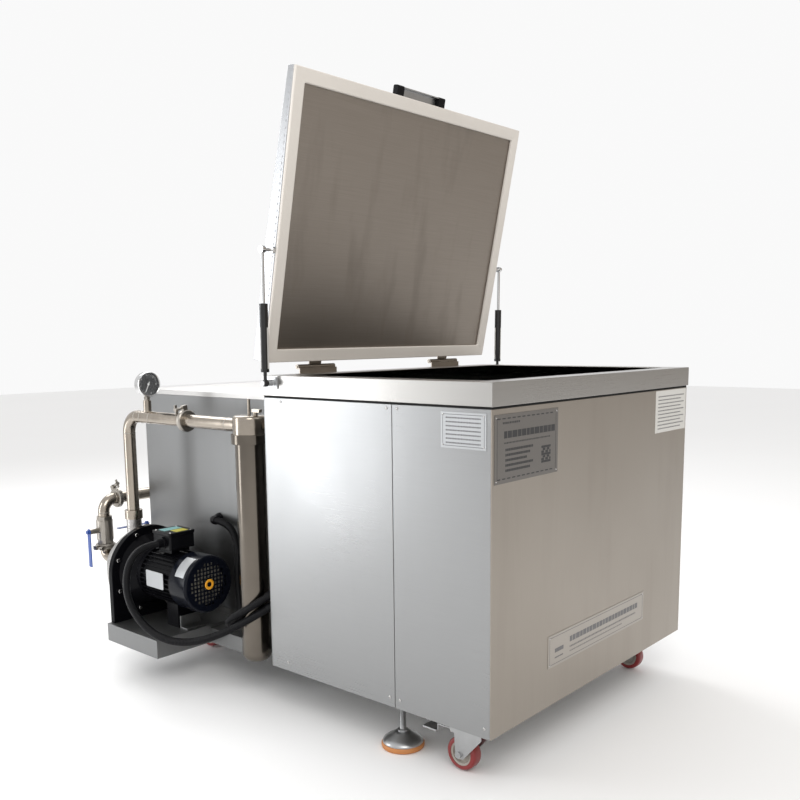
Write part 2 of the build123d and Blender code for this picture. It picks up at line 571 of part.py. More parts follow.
for side, (x, y) in caster_sites.items():
    nodes["caster_fork_" + side] = fork(x, y, wheel_y, True)
    nodes["caster_wheel_front_" + side] = wheel(x, wheel_y)
    pedal_y = wheel_y + 12 + 3.0
    pedal_z = CROWN_Z - 6.0
    arm_x = leg_in - RUN
    pedal = block(x - arm_x, x + arm_x, pedal_y + 2, pedal_y + 46, pedal_z - 2, pedal_z + 1)
    tread_plate = block(x - arm_x - 6, x + arm_x + 6, pedal_y + 46, pedal_y + 84, pedal_z - 16, pedal_z - 12)
    link = block(x - arm_x, x + arm_x, pedal_y + 44, pedal_y + 47, pedal_z - 16, pedal_z + 1)
    barrel = rod("x", x - arm_x, x + arm_x, pedal_y + 4, pedal_z, 4.0)
    nodes["brake_pedal_" + side] = pedal + tread_plate + link + barrel
    lug_out = leg_in + FORK_T
    lugs = [block(x + s * leg_in if s > 0 else x - lug_out, x + lug_out if s > 0 else x - leg_in,
                  wheel_y + 8, pedal_y + 9, pedal_z - 6, CROWN_Z + FORK_T) for s in (-1, 1)]
    nodes["caster_fork_" + side] += lugs[0] + lugs[1]

rear_forks = []
for side, sx in (("left", -1), ("right", 1)):
    x = sx * REAR_CASTER_X
    stand = block(x - 28, x + 28, REAR_CASTER_Y - 30, REAR_CASTER_Y + 30, plate_z0, FRAME_Z)
    stand += block(x - leg_in - FORK_T, x + leg_in + FORK_T, REAR_CASTER_Y - 22, REAR_CASTER_Y + 12,
                   CROWN_Z, plate_z0)
    rear_forks.append(stand + fork(x, REAR_CASTER_Y, REAR_CASTER_Y, False))
    nodes["caster_wheel_rear_" + side] = wheel(x, REAR_CASTER_Y)
nodes["rear_caster_forks"] = solids(*rear_forks)

# ---------------------------------------------------------------- levelling feet
REAR_FOOT_X = rail_x + TUBE / 2
foot_sites = {"front_left": (-FOOT_X, FOOT_Y), "front_right": (FOOT_X, FOOT_Y),
              "rear_left": (-REAR_FOOT_X, REAR_FOOT_Y), "rear_right": (REAR_FOOT_X, REAR_FOOT_Y)}
stem_top_z = FRAME_Z + TUBE / 2 - FOOT_TRAVEL - FIT
FOOT_NUT_R = 13.0
FOOT_NUT_H = 12.0
stem_bores = []
for name, (x, y) in foot_sites.items():
    pad = rod("z", 0, FOOT_PAD_T, x, y, FOOT_PAD_R)
    pad = fillet(pad.edges().filter_by(GeomType.CIRCLE), 3.0)
    bell = Pos(x, y, FOOT_PAD_T) * Cone(FOOT_PAD_R - 3, 15, 24, align=(Align.CENTER, Align.CENTER, Align.MIN))
    stem = rod("z", FOOT_PAD_T + 24, stem_top_z, x, y, FOOT_STEM_R)
    nodes["levelling_foot_" + name] = solids(pad, bell + stem)
    nut = Pos(x, y, FRAME_Z - FOOT_NUT_H / 2) * extrude(RegularPolygon(FOOT_NUT_R, 6), FOOT_NUT_H / 2, both=True)
    bore = rod("z", FRAME_Z - FOOT_NUT_H - 1, FRAME_Z + TUBE_T + 1, x, y, FOOT_STEM_R + RUN)
    stem_bores.append(bore)
    fasteners.append(nut - bore)
foot_pads = [block(min(sx * (FOOT_X - 28), sx * post_x), max(sx * (FOOT_X - 28), sx * post_x),
                   FOOT_Y - 24, FOOT_Y + 24, FRAME_Z, FRAME_Z + TUBE_T) for sx in (-1, 1)]
frame = frame_rails[0]
for piece in frame_rails[1:] + posts + rear_rails + rear_cross + outriggers + foot_pads:
    frame += piece
for bore in stem_bores:
    frame -= bore
nodes["base_frame"] = frame

# ---------------------------------------------------------------- reservoir
res_outer = block(-res_x, res_x, res_y0, res_y1, frame_top, RES_TOP - RES_LID_T)
res_inner = block(-res_x + RES_T, res_x - RES_T, res_y0 + RES_T, res_y1 - RES_T, frame_top + RES_T, RES_TOP)
reservoir = res_outer - res_inner
reservoir -= rod("y", res_y1 - 10, res_y1 + 1, SUCTION_X, SUCTION_Z, PIPE_R + FIT)
reservoir -= rod("y", res_y1 - 10, res_y1 + 1, DRAIN_X, DRAIN_Z, PIPE_R + FIT)
gland_y, gland_z = res_y0 + 374.0, 412.0    # sensor gland on the reservoir's left wall
reservoir -= rod("x", -res_x - 1, -res_x + 10, gland_y, gland_z + 12, CONDUIT_R - 2)
return_z = outlet_z
reservoir -= rod("y", res_y0 - 1, res_y0 + 10, 0, return_z, PIPE_R + FIT)
nodes["reservoir_tank"] = reservoir
lid_out = RES_LID_T + FIT
cover = block(-res_x - lid_out, res_x + lid_out, res_y0 - lid_out, res_y1 + lid_out,
              RES_TOP - RES_LID_FOLD, RES_TOP)
cover -= block(-res_x - FIT, res_x + FIT, res_y0 - FIT, res_y1 + FIT, RES_TOP - RES_LID_FOLD - 1,
               RES_TOP - RES_LID_T)
nodes["reservoir_lid"] = cover

# ---------------------------------------------------------------- plinth, filter shelf
plinth = block(plinth_x0, plinth_x1, PLINTH_Y0, PLINTH_Y1, plinth_top - PLINTH_H, plinth_top)
plinth -= block(plinth_x0 + PLINTH_T, plinth_x1 + 1, PLINTH_Y0 + PLINTH_T, PLINTH_Y1 - PLINTH_T,
                plinth_top - PLINTH_H - 1, plinth_top - PLINTH_T)
SHELF_LEFT = 95.0
shelf = block(-res_x - SHELF_LEFT, plinth_x1, res_y0, PLINTH_Y0 - FIT, plinth_top - PLINTH_H, plinth_top - 8)
shelf -= block(-res_x - SHELF_LEFT + PLINTH_T, plinth_x1 + 1, res_y0 + PLINTH_T, PLINTH_Y0 - FIT - PLINTH_T,
               plinth_top - PLINTH_H - 1, plinth_top - 8 - PLINTH_T)
filter_gap = rod("z", FILTER_BOTTOM - 30, plinth_top, PUMP_X, FILTER_Y, FILTER_R + 4)
angle = block(PUMP_X - 32, PUMP_X + 32, PLINTH_Y0 + 12, PLINTH_Y0 + 44, plinth_top, plinth_top + 4)
angle += block(PUMP_X - 32, PUMP_X + 32, PLINTH_Y0 + 40, PLINTH_Y0 + 44, plinth_top, plinth_top + 34)
nodes["pump_plinth"] = solids(plinth, shelf - filter_gap, angle)

# ---------------------------------------------------------------- pump
bracket_y1 = BRACKET_Y + BRACKET_T
volute_y1 = bracket_y1 + VOLUTE_L
motor_flange_y = BRACKET_Y - LANTERN_L
lantern_r0 = MOTOR_R - 2.0
bracket = rod("y", BRACKET_Y, bracket_y1, PUMP_X, PUMP_Z, BRACKET_R)
bracket += block(PUMP_X - BRACKET_R, PUMP_X + BRACKET_R, BRACKET_Y, bracket_y1, plinth_top, PUMP_Z)
bracket -= rod("y", BRACKET_Y - 1, bracket_y1 + 1, PUMP_X, PUMP_Z, lantern_r0 - LANTERN_T)
nodes["pump_bracket"] = bracket
lantern_l = BRACKET_Y - motor_flange_y
lantern_plane = Plane(origin=(PUMP_X, motor_flange_y, PUMP_Z), z_dir=(0, 1, 0))
standing = (Align.CENTER, Align.CENTER, Align.MIN)
lantern = lantern_plane * Cone(lantern_r0, LANTERN_R1, lantern_l, align=standing)
lantern -= lantern_plane * Cone(lantern_r0 - LANTERN_T, LANTERN_R1 - LANTERN_T, lantern_l, align=standing)
nodes["pump_lantern"] = lantern
for k in range(8):
    angle_k = radians(22.5 + 45 * k)
    fasteners.append(rod("y", BRACKET_Y - 7, BRACKET_Y, PUMP_X + (BRACKET_R - 11) * cos(angle_k),
                         PUMP_Z + (BRACKET_R - 11) * sin(angle_k), 6.0))

suction_end = volute_y1 + 26.0
volute = rod("y", bracket_y1, volute_y1, PUMP_X, PUMP_Z, VOLUTE_BODY_R)
volute = fillet(volute.edges().filter_by(GeomType.CIRCLE).group_by(Axis.Y)[-1], 22.0)
volute += rod("y", bracket_y1, bracket_y1 + VOLUTE_RIM, PUMP_X, PUMP_Z, VOLUTE_R)
volute += rod("y", volute_y1 - 2, suction_end, PUMP_X, PUMP_Z, PIPE_R + 6)
volute += rod("z", PUMP_Z + 60, RISER_Z0, PUMP_X, RISER_Y, PIPE_R + 4)
chamber_r = VOLUTE_BODY_R - VOLUTE_WALL
impeller_r = chamber_r - IMPELLER_GAP
volute -= rod("y", bracket_y1 + 4, volute_y1 - 10, PUMP_X, PUMP_Z, chamber_r)
volute -= rod("y", volute_y1 - 12, suction_end + 1, PUMP_X, PUMP_Z, PIPE_R - PIPE_T)
volute -= rod("z", PUMP_Z + chamber_r - 12, RISER_Z0 + 1, PUMP_X, RISER_Y, PIPE_R - PIPE_T)
volute -= rod("y", bracket_y1 - 1, bracket_y1 + 6, PUMP_X, PUMP_Z, SHAFT_R + PIN_PLAY)
nodes["pump_volute"] = volute

cover_l = 66.0
bell_r = MOTOR_R + 0.5
motor_y0 = FAN_Y + cover_l
motor_y1 = motor_flange_y
housing = rod("y", motor_y0, motor_y1, PUMP_X, PUMP_Z, MOTOR_CORE_R)
fin = block(MOTOR_CORE_R - 2, MOTOR_R, motor_y0 + 14, motor_y1 - 16, -FIN_T / 2, FIN_T / 2)
fins = [Pos(PUMP_X, 0, PUMP_Z) * Rot(0, 360 * k / FIN_COUNT, 0) * fin for k in range(FIN_COUNT)
        if not 60 < (360 * k / FIN_COUNT + 180) % 360 < 120]
for piece in fins:
    housing += piece
housing += rod("y", motor_y0, motor_y0 + 14, PUMP_X, PUMP_Z, bell_r)
housing += rod("y", motor_y1 - 16, motor_y1, PUMP_X, PUMP_Z, bell_r)
housing -= rod("y", motor_y0 + 8, motor_y1 - 8, PUMP_X, PUMP_Z, MOTOR_CORE_R - 6)
housing -= rod("y", motor_y0 - 1, motor_y1 + 1, PUMP_X, PUMP_Z, SHAFT_R + PIN_PLAY)
stator = ring("y", motor_y0 + 30, motor_y1 - 30, PUMP_X, PUMP_Z, MOTOR_CORE_R - 6 - PIN_PLAY, 40.0)
saddle = block(PUMP_X - 34, PUMP_X + 34, PLINTH_Y0 + 48, PLINTH_Y0 + 100, plinth_top, PUMP_Z)
saddle -= rod("y", PLINTH_Y0, PLINTH_Y0 + 200, PUMP_X, PUMP_Z, bell_r + RUN)
nodes["motor_housing"] = solids(housing, stator, saddle)

shaft = rod("y", FAN_Y + 16, BRACKET_Y + 56, PUMP_X, PUMP_Z, SHAFT_R)
rotor_core = ring("y", motor_y0 + 34, motor_y1 - 34, PUMP_X, PUMP_Z, 39.0, SHAFT_R)
fan_disc = ring("y", FAN_Y + 22, FAN_Y + 26, PUMP_X, PUMP_Z, 62.0, SHAFT_R)
fan_disc += ring("y", FAN_Y + 16, FAN_Y + 40, PUMP_X, PUMP_Z, 18.0, SHAFT_R)
for k in range(7):
    blade = block(16, 62, FAN_Y + 24, FAN_Y + 48, -1.5, 1.5)
    fan_disc += Pos(PUMP_X, 0, PUMP_Z) * Rot(0, 360 * k / 7, 0) * blade
fan_disc -= rod("y", FAN_Y, FAN_Y + 60, PUMP_X, PUMP_Z, SHAFT_R)
impeller = ring("y", BRACKET_Y + 26, BRACKET_Y + 30, PUMP_X, PUMP_Z, impeller_r, SHAFT_R)
for k in range(6):
    vane = block(22, impeller_r, BRACKET_Y + 28, BRACKET_Y + 48, -1.5, 1.5)
    impeller += Pos(PUMP_X, 0, PUMP_Z) * Rot(0, 60 * k + 12, 0) * vane
impeller += ring("y", BRACKET_Y + 26, BRACKET_Y + 52, PUMP_X, PUMP_Z, 18.0, SHAFT_R)
nodes["pump_rotor"] = shaft + rotor_core + fan_disc + impeller

cover = rod("y", FAN_Y, motor_y0 + 6, PUMP_X, PUMP_Z, FAN_R)
cover = fillet(cover.edges().filter_by(GeomType.CIRCLE).group_by(Axis.Y)[0], 8.0)
cover_in = rod("y", FAN_Y + FAN_T, motor_y0 + 7, PUMP_X, PUMP_Z, bell_r + RUN)
cover -= fillet(cover_in.edges().filter_by(GeomType.CIRCLE).group_by(Axis.Y)[0], 7.0)
GRILLE = 11.0            # pitch of the fan cover's square holes
GRILLE_HOLE = 7.5
grille_r = 62.0
for i in range(-5, 6):
    for j in range(-5, 6):
        gx, gz = i * GRILLE, j * GRILLE
        if 14 < hypot(gx, gz) < grille_r - GRILLE_HOLE / 2:
            cover -= block(PUMP_X + gx - GRILLE_HOLE / 2, PUMP_X + gx + GRILLE_HOLE / 2, FAN_Y - 1, FAN_Y + 4,
                           PUMP_Z + gz - GRILLE_HOLE / 2, PUMP_Z + gz + GRILLE_HOLE / 2)
nodes["fan_cover"] = cover

box_x0, box_x1 = PUMP_X - BOX_SIZE / 2, PUMP_X + BOX_SIZE / 2
box_y0, box_y1 = BOX_Y - BOX_SIZE / 2, BOX_Y + BOX_SIZE / 2
terminal = block(box_x0, box_x1, box_y0, box_y1, BOX_Z0 + 8, BOX_Z1 - 8)
terminal = fillet(terminal.edges().filter_by(Axis.Z), 6.0)
neck = block(PUMP_X - 30, PUMP_X + 30, BOX_Y - 30, BOX_Y + 30, PUMP_Z, BOX_Z0 + 8)
neck -= rod("y", BOX_Y - 60, BOX_Y + 60, PUMP_X, PUMP_Z, MOTOR_R + PIN_PLAY)
box_cover = block(box_x0 - 2, box_x1 + 2, box_y0 - 2, box_y1 + 2, BOX_Z1 - 8, BOX_Z1)
box_cover = fillet(box_cover.edges().filter_by(Axis.Z), 7.0)
nodes["terminal_box"] = solids(terminal + neck, box_cover)

# ---------------------------------------------------------------- pipework
filter_in_y = FILTER_Y + FILTER_HEAD_R
discharge = swept_tube([(PUMP_X, RISER_Y, RISER_Z0), (PUMP_X, RISER_Y, RUN_Z), (PUMP_X, filter_in_y, RUN_Z)],
                       PIPE_R, PIPE_T, BEND_R)
tee_bore = rod("z", RUN_Z, RUN_Z + PIPE_R + 4, PUMP_X, TEE_Y, 5.0)
stem_top = GAUGE_Z - GAUGE_R + 4
gauge_stem = rod("z", RUN_Z + PIPE_R - 3, stem_top - 14, PUMP_X, TEE_Y, 11.0)
gauge_stem += rod("z", stem_top - 14, stem_top - 5, PUMP_X, TEE_Y, 7.0)
gauge_hole = rod("y", filter_in_y + 10, RISER_Y - BEND_R, PUMP_X, RUN_Z, PIPE_R - PIPE_T)
discharge = discharge + (gauge_stem - gauge_hole) - tee_bore
discharge += ring("z", RISER_Z0, RISER_Z0 + 12, PUMP_X, RISER_Y, PIPE_R + 8, PIPE_R - 0.5)
discharge += ring("z", RISER_Z0 - 14, RISER_Z0, PUMP_X, RISER_Y, PIPE_R + 8, PIPE_R + 4 + RUN)
suction_z0 = PUMP_Z
valve_z0, valve_z1 = VALVE_Z - VALVE_L / 2, VALVE_Z + VALVE_L / 2
suction_top = swept_tube([(SUCTION_X, res_y1 - RES_T, SUCTION_Z), (SUCTION_X, SUCTION_Y, SUCTION_Z),
                          (PUMP_X, SUCTION_Y, SUCTION_Z), (PUMP_X, SUCTION_Y, valve_z1)], PIPE_R, PIPE_T, 38.0)
suction_low = swept_tube([(PUMP_X, SUCTION_Y, valve_z0), (PUMP_X, SUCTION_Y, PUMP_Z), (PUMP_X, suction_end, PUMP_Z)],
                         PIPE_R, PIPE_T, ELBOW_R)
drain_y0, drain_y1 = res_y1 + 12.0, res_y1 + 68.0
drain_stub = ring("y", res_y1 - RES_T, drain_y0, DRAIN_X, DRAIN_Z, PIPE_R, PIPE_R - PIPE_T)
return_y = FILTER_Y
return_pipe = swept_tube([(PUMP_X + FILTER_HEAD_R, FILTER_Y, RUN_Z), (inlet_x, FILTER_Y, RUN_Z),
                          (inlet_x, mouth_y1, RUN_Z)], PIPE_R - 3, PIPE_T, ELBOW_R)
basin_pipe = swept_tube([(0, 0, basin_z - TANK_T), (0, 0, outlet_z), (0, res_y0 + RES_T, outlet_z)],
                        PIPE_R - FIT, PIPE_T, 40.0)
nodes["pipework"] = solids(discharge, suction_top, suction_low, drain_stub, return_pipe, basin_pipe)


def clamp(axis, at, a, b, nut_dir):
    """A two-part clamp ring with a wing nut; nut_dir is the nut's direction as an angle round the pipe."""
    body = ring(axis, at - CLAMP_W / 2, at + CLAMP_W / 2, a, b, CLAMP_R, PIPE_R + RUN)
    body = chamfer(body.edges().filter_by(GeomType.CIRCLE).sort_by(SortBy.RADIUS)[-2:], 3.0)
    lug = Pos(CLAMP_R + 4, 0, 0) * Box(16, 14, CLAMP_W - 4)
    bolt = Pos(CLAMP_R + 6, 12, 0) * Rot(90, 0, 0) * Cylinder(3.0, 30)
    wing = Pos(CLAMP_R + 6, 26, 0) * (Box(26, 7, 3.5) + Rot(90, 0, 0) * Cylinder(6.0, 8))
    nut = Rot(0, 0, nut_dir) * (lug + bolt + wing)
    if axis == "x":
        nut = Pos(at, a, b) * Rot(0, 90, 0) * nut
    elif axis == "y":
        nut = Pos(a, at, b) * Rot(90, 0, 0) * nut
    else:
        nut = Pos(a, b, at) * nut
    return body + nut


x_clamp = -382.0
low_clamp_z = valve_z0 - CLAMP_W / 2 - FIT
bare = [clamp("y", CLAMP_Y, PUMP_X, RUN_Z, 100), clamp("x", x_clamp, SUCTION_Y, SUCTION_Z, 150),
        clamp("z", low_clamp_z, PUMP_X, SUCTION_Y, 190)]
nodes["pipe_clamps"] = solids(*bare)

# ---------------------------------------------------------------- valves, their levers
valve = rod("z", valve_z0 + 12, valve_z1 - 12, PUMP_X, SUCTION_Y, VALVE_R)
for z0, z1 in ((valve_z0, valve_z0 + 16), (valve_z1 - 16, valve_z1)):
    nut = Pos(PUMP_X, SUCTION_Y, z0) * extrude(RegularPolygon(VALVE_R + 1, 6), 16)
    valve += nut
valve -= rod("z", valve_z0 - 1, valve_z1 + 1, PUMP_X, SUCTION_Y, PIPE_R - PIPE_T)
stem_r = 8.0
lever_x = PUMP_X - LEVER_OUT
valve += rod("x", PUMP_X - VALVE_R + 3, lever_x + FIT, SUCTION_Y, VALVE_Z, stem_r)
valve -= rod("z", valve_z0 - 1, valve_z1 + 1, PUMP_X, SUCTION_Y, PIPE_R - PIPE_T)
drain_valve = rod("y", drain_y0, drain_y1, DRAIN_X, DRAIN_Z, VALVE_R - 2)
drain_valve += Pos(DRAIN_X, drain_y0, DRAIN_Z) * Rot(-90, 0, 0) * extrude(RegularPolygon(VALVE_R, 6), 14)
drain_valve += Pos(DRAIN_X, drain_y1 - 14, DRAIN_Z) * Rot(-90, 0, 0) * extrude(RegularPolygon(VALVE_R, 6), 14)
drain_lever_z = DRAIN_Z + 38.0
drain_mid = (drain_y0 + drain_y1) / 2
drain_valve += rod("z", DRAIN_Z + 10, drain_lever_z - FIT, DRAIN_X, drain_mid, stem_r)
drain_valve -= rod("y", drain_y0 - 1, drain_y1 - 20, DRAIN_X, DRAIN_Z, PIPE_R - PIPE_T)
nodes["valve_bodies"] = solids(valve, drain_valve)
lever = block(lever_x - LEVER_T, lever_x, SUCTION_Y - LEVER_W / 2, SUCTION_Y + LEVER_W / 2,
              VALVE_Z - LEVER_L, VALVE_Z)
lever += rod("x", lever_x - LEVER_T, lever_x, SUCTION_Y, VALVE_Z, LEVER_W * 0.6)
lever += rod("x", lever_x - LEVER_T - 6, lever_x, SUCTION_Y, VALVE_Z, 6.0)
nodes["suction_valve_lever"] = lever
drain_lever = block(DRAIN_X - DRAIN_LEVER_L, DRAIN_X, drain_mid - LEVER_W / 2, drain_mid + LEVER_W / 2,
                    drain_lever_z, drain_lever_z + LEVER_T)
drain_lever += rod("z", drain_lever_z, drain_lever_z + LEVER_T, DRAIN_X, drain_mid, LEVER_W * 0.6)
drain_lever += rod("z", drain_lever_z, drain_lever_z + 8, DRAIN_X, drain_mid, 6.0)
nodes["drain_valve_lever"] = drain_lever

# ---------------------------------------------------------------- pressure gauge
gauge_y0 = TEE_Y - GAUGE_T / 2 - 3
gauge_y1 = gauge_y0 + GAUGE_T
dial_y = gauge_y0 + 8.0
case = rod("y", gauge_y0, gauge_y1, PUMP_X, GAUGE_Z, GAUGE_R)
case = fillet(case.edges().filter_by(GeomType.CIRCLE), 3.0)
case -= rod("y", gauge_y0 - 1, dial_y, PUMP_X, GAUGE_Z, GAUGE_R - 3)
socket = rod("z", stem_top - 6, GAUGE_Z - GAUGE_R + 8, PUMP_X, TEE_Y, 6.0)
case += socket - rod("y", gauge_y0, dial_y, PUMP_X, GAUGE_Z, GAUGE_R - 3)
case -= rod("z", stem_top - 6 - 1, stem_top - 5, PUMP_X, TEE_Y, 8.0)
lens = rod("y", gauge_y0 + 0.5, gauge_y0 + 2.0, PUMP_X, GAUGE_Z, GAUGE_R - 3 - PIN_PLAY)
nodes["pressure_gauge"] = solids(case, lens)
needle_y = dial_y - 3.0
needle = rod("y", needle_y, dial_y - 0.5, PUMP_X, GAUGE_Z, 3.0)
needle += block(PUMP_X - 1.0, PUMP_X + 1.0, needle_y, needle_y + 1.2, GAUGE_Z - 24, GAUGE_Z + 8)
NEEDLE_REST = 25.0       # the needle points this far past straight down
nodes["gauge_needle"] = needle.rotate(Axis((PUMP_X, 0, GAUGE_Z), (0, 1, 0)), NEEDLE_REST)

# ---------------------------------------------------------------- filter
ring_z0 = FILTER_HEAD_Z - FILTER_RING_H
head = rod("z", FILTER_HEAD_Z, FILTER_TOP, PUMP_X, FILTER_Y, FILTER_HEAD_R)
head = fillet(head.edges().filter_by(GeomType.CIRCLE).group_by(Axis.Z)[-1], 9.0)
head -= rod("z", FILTER_HEAD_Z - 1, FILTER_TOP - 8, PUMP_X, FILTER_Y, FILTER_R - FILTER_WALL)
head -= rod("y", FILTER_Y + 10, FILTER_Y + FILTER_HEAD_R + 1, PUMP_X, RUN_Z, PIPE_R - PIPE_T)
head -= rod("x", PUMP_X + 10, PUMP_X + FILTER_HEAD_R + 1, FILTER_Y, RUN_Z, PIPE_R - 3 - PIPE_T)
vent = rod("z", FILTER_TOP - 1, FILTER_TOP + 40, PUMP_X, FILTER_Y, 4.0)
vent += rod("z", FILTER_TOP - 1, FILTER_TOP + 8, PUMP_X, FILTER_Y - 24, 6.0)
vent += block(PUMP_X - 5, PUMP_X + 5, FILTER_Y - 44, FILTER_Y - 16, FILTER_TOP + 8, FILTER_TOP + 16)
strap = block(PUMP_X + FILTER_HEAD_R - 6, -res_x, FILTER_Y + 20, FILTER_Y + 24, FILTER_HEAD_Z + 4, FILTER_HEAD_Z + 22)
strap -= rod("z", FILTER_HEAD_Z, FILTER_TOP, PUMP_X, FILTER_Y, FILTER_HEAD_R - 3)
nodes["filter_head"] = head + vent + strap
bowl = rod("z", FILTER_BOTTOM, FILTER_HEAD_Z, PUMP_X, FILTER_Y, FILTER_R)
bowl = fillet(bowl.edges().filter_by(GeomType.CIRCLE).group_by(Axis.Z)[0], 22.0)
bowl -= rod("z", FILTER_BOTTOM + 24, FILTER_HEAD_Z + 1, PUMP_X, FILTER_Y, FILTER_R - FILTER_WALL)
clamp_ring = ring("z", ring_z0, FILTER_HEAD_Z + 4, PUMP_X, FILTER_Y, FILTER_RING_R, FILTER_R + PIN_PLAY)
clamp_ring -= rod("z", FILTER_HEAD_Z, FILTER_HEAD_Z + 5, PUMP_X, FILTER_Y, FILTER_HEAD_R + PIN_PLAY)
nodes["filter_bowl"] = solids(bowl, clamp_ring)
nodes["filter_cartridge"] = ring("z", FILTER_BOTTOM + 24, FILTER_HEAD_Z - 4, PUMP_X, FILTER_Y, CARTRIDGE_R, 12.0)

# ---------------------------------------------------------------- conduits and their glands
box_gland = (box_x0, BOX_Y - 12.0, (BOX_Z0 + BOX_Z1) / 2)


def gland(start, direction):
    """A cable gland: a nut against the wall and a round sleeve; the conduit's end face meets its end."""
    plane = Plane(origin=start, z_dir=direction)
    nut = extrude(plane * RegularPolygon(GLAND_R + 4, 6), 8)
    sleeve = extrude(plane * Circle(GLAND_R), GLAND_L)
    return nut + sleeve


entry_dir = Vector(-0.70, 0.52, -0.49).normalized()
boot_l = 32.0
elbow_x = -res_x - 28.0
elbow_end = gland_y - 20.0
elbow_z = gland_z + 12.0
elbow = swept_tube([(-res_x, gland_y, elbow_z), (elbow_x, gland_y, elbow_z), (elbow_x, elbow_end, elbow_z)],
                   GLAND_R - 1, 0, GLAND_R + 0.5)
elbow += extrude(Plane(origin=(-res_x, gland_y, elbow_z), z_dir=(-1, 0, 0)) * RegularPolygon(GLAND_R + 4, 6), 8)
glands = [gland(box_gland, (-1, 0, 0)), elbow]
entry_ends = []
for i in range(2):
    root = Vector(entry_x, half_d, entry_z + i * entry_step)
    knee = root + Vector(0, 10, 0)
    end = knee + entry_dir * boot_l
    boot = swept_tube([tuple(root), tuple(knee), tuple(end)], entry_r, 0, entry_r + 2)
    glands.append(boot + rod("y", root.Y, root.Y + 2, root.X, root.Z, GLAND_R + 1))
    entry_ends.append(end)
nodes["cable_glands"] = solids(*glands)

motor_conduit = [
    (box_gland[0] - GLAND_L, box_gland[1], box_gland[2]),
    (-542, 753, 380), (-579, 754, 351), (-597, 750, 304), (-602, 738, 254), (-600, 706, 212), (-595, 660, 182),
    (-588, 604, 167), (-574, 548, 165), (-551, 495, 175), (-517, 439, 200),
    tuple(entry_ends[0] + entry_dir * 47), tuple(entry_ends[0]),
]
sensor_conduit = [
    (elbow_x, elbow_end, elbow_z),
    (-326, 662, 424), (-326, 626, 398), (-327, 610, 352), (-328, 617, 300), (-332, 610, 252), (-349, 585, 212),
    (-378, 548, 190), (-421, 513, 187), (-463, 488, 199), (-489, 452, 224),
    tuple(entry_ends[1] + entry_dir * 60), tuple(entry_ends[1]),
]


def conduit(name, points):
    """A free conduit along straight runs joined by the largest arcs that the runs allow."""
    vectors = [Vector(*p) for p in points]
    runs = [(b - a).length for a, b in zip(vectors, vectors[1:])]
    radii = []
    for a, b, c, r0, r1 in zip(vectors, vectors[1:], vectors[2:], runs, runs[1:]):
        turn = (b - a).get_angle(c - b)
        radii.append(0.45 * min(r0, r1) / tan(radians(turn) / 2))
    path = FilletPolyline(*points, radius=radii)
    tube = sweep(Plane(origin=path @ 0, z_dir=path % 0) * Circle(CONDUIT_R), path=path)
    print(name, "length", round(path.length), "runs", [round(r) for r in runs],
          "radii in diameters", [round(r / 2 / CONDUIT_R, 1) for r in radii],
          "volume ratio", round(tube.volume / (pi * CONDUIT_R ** 2 * path.length), 4))
    return tube


nodes["motor_conduit"] = conduit("motor_conduit", motor_conduit)
nodes["sensor_conduit"] = conduit("sensor_conduit", sensor_conduit)
nodes["fasteners"] = solids(*fasteners)

# ---------------------------------------------------------------- origin and files
free_conduits = ("motor_conduit", "sensor_conduit")
boxes = [part.bounding_box() for name, part in nodes.items() if name not in free_conduits]
shift = Vector(-(min(b.min.X for b in boxes) + max(b.max.X for b in boxes)) / 2,
               -(min(b.min.Y for b in boxes) + max(b.max.Y for b in boxes)) / 2, 0)

os.makedirs("parts", exist_ok=True)
for name, part in nodes.items():
    placed = part.moved(Location(shift))
    export_step(placed, "parts/" + name + ".step")
print(len(nodes), "nodes, origin moved by", shift)
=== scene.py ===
"""Studio scene of a parts washer tank with a gas-strut lid, a reservoir, a pump, a filter and pipework.

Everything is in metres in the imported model's frame. Places are written in millimetres from the middle of the
washing cabinet, with the floor at z = 0, and ``Bench`` turns them into that frame. Pieces of the lid are
worked out with the lid shut and then swung open about its hinge line.
"""

import json
import logging
import math
from dataclasses import dataclass, field
from enum import Enum
from functools import reduce
from typing import Callable, Optional, Sequence

import bmesh
import bpy
import numpy as np
from mathutils import Matrix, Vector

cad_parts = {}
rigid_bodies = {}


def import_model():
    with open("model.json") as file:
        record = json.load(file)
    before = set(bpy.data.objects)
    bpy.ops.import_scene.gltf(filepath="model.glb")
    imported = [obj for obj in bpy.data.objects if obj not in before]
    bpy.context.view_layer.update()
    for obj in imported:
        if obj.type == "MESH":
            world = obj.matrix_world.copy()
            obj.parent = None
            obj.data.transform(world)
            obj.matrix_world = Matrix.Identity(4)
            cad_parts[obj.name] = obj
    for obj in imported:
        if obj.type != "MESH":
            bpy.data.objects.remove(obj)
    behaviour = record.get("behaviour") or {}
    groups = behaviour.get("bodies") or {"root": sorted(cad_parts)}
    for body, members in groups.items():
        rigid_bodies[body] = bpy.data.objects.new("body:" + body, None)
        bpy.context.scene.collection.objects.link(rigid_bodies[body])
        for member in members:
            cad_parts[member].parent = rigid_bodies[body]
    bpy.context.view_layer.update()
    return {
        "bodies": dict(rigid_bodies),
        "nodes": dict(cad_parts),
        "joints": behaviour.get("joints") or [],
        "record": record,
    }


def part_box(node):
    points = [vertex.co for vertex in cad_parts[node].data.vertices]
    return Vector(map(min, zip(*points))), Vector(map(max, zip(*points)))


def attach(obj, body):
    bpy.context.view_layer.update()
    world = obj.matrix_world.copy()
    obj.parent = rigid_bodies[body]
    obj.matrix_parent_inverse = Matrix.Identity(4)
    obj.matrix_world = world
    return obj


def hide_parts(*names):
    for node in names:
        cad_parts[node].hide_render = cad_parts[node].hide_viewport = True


LOG = logging.getLogger("washer")
Triple = tuple[float, float, float]


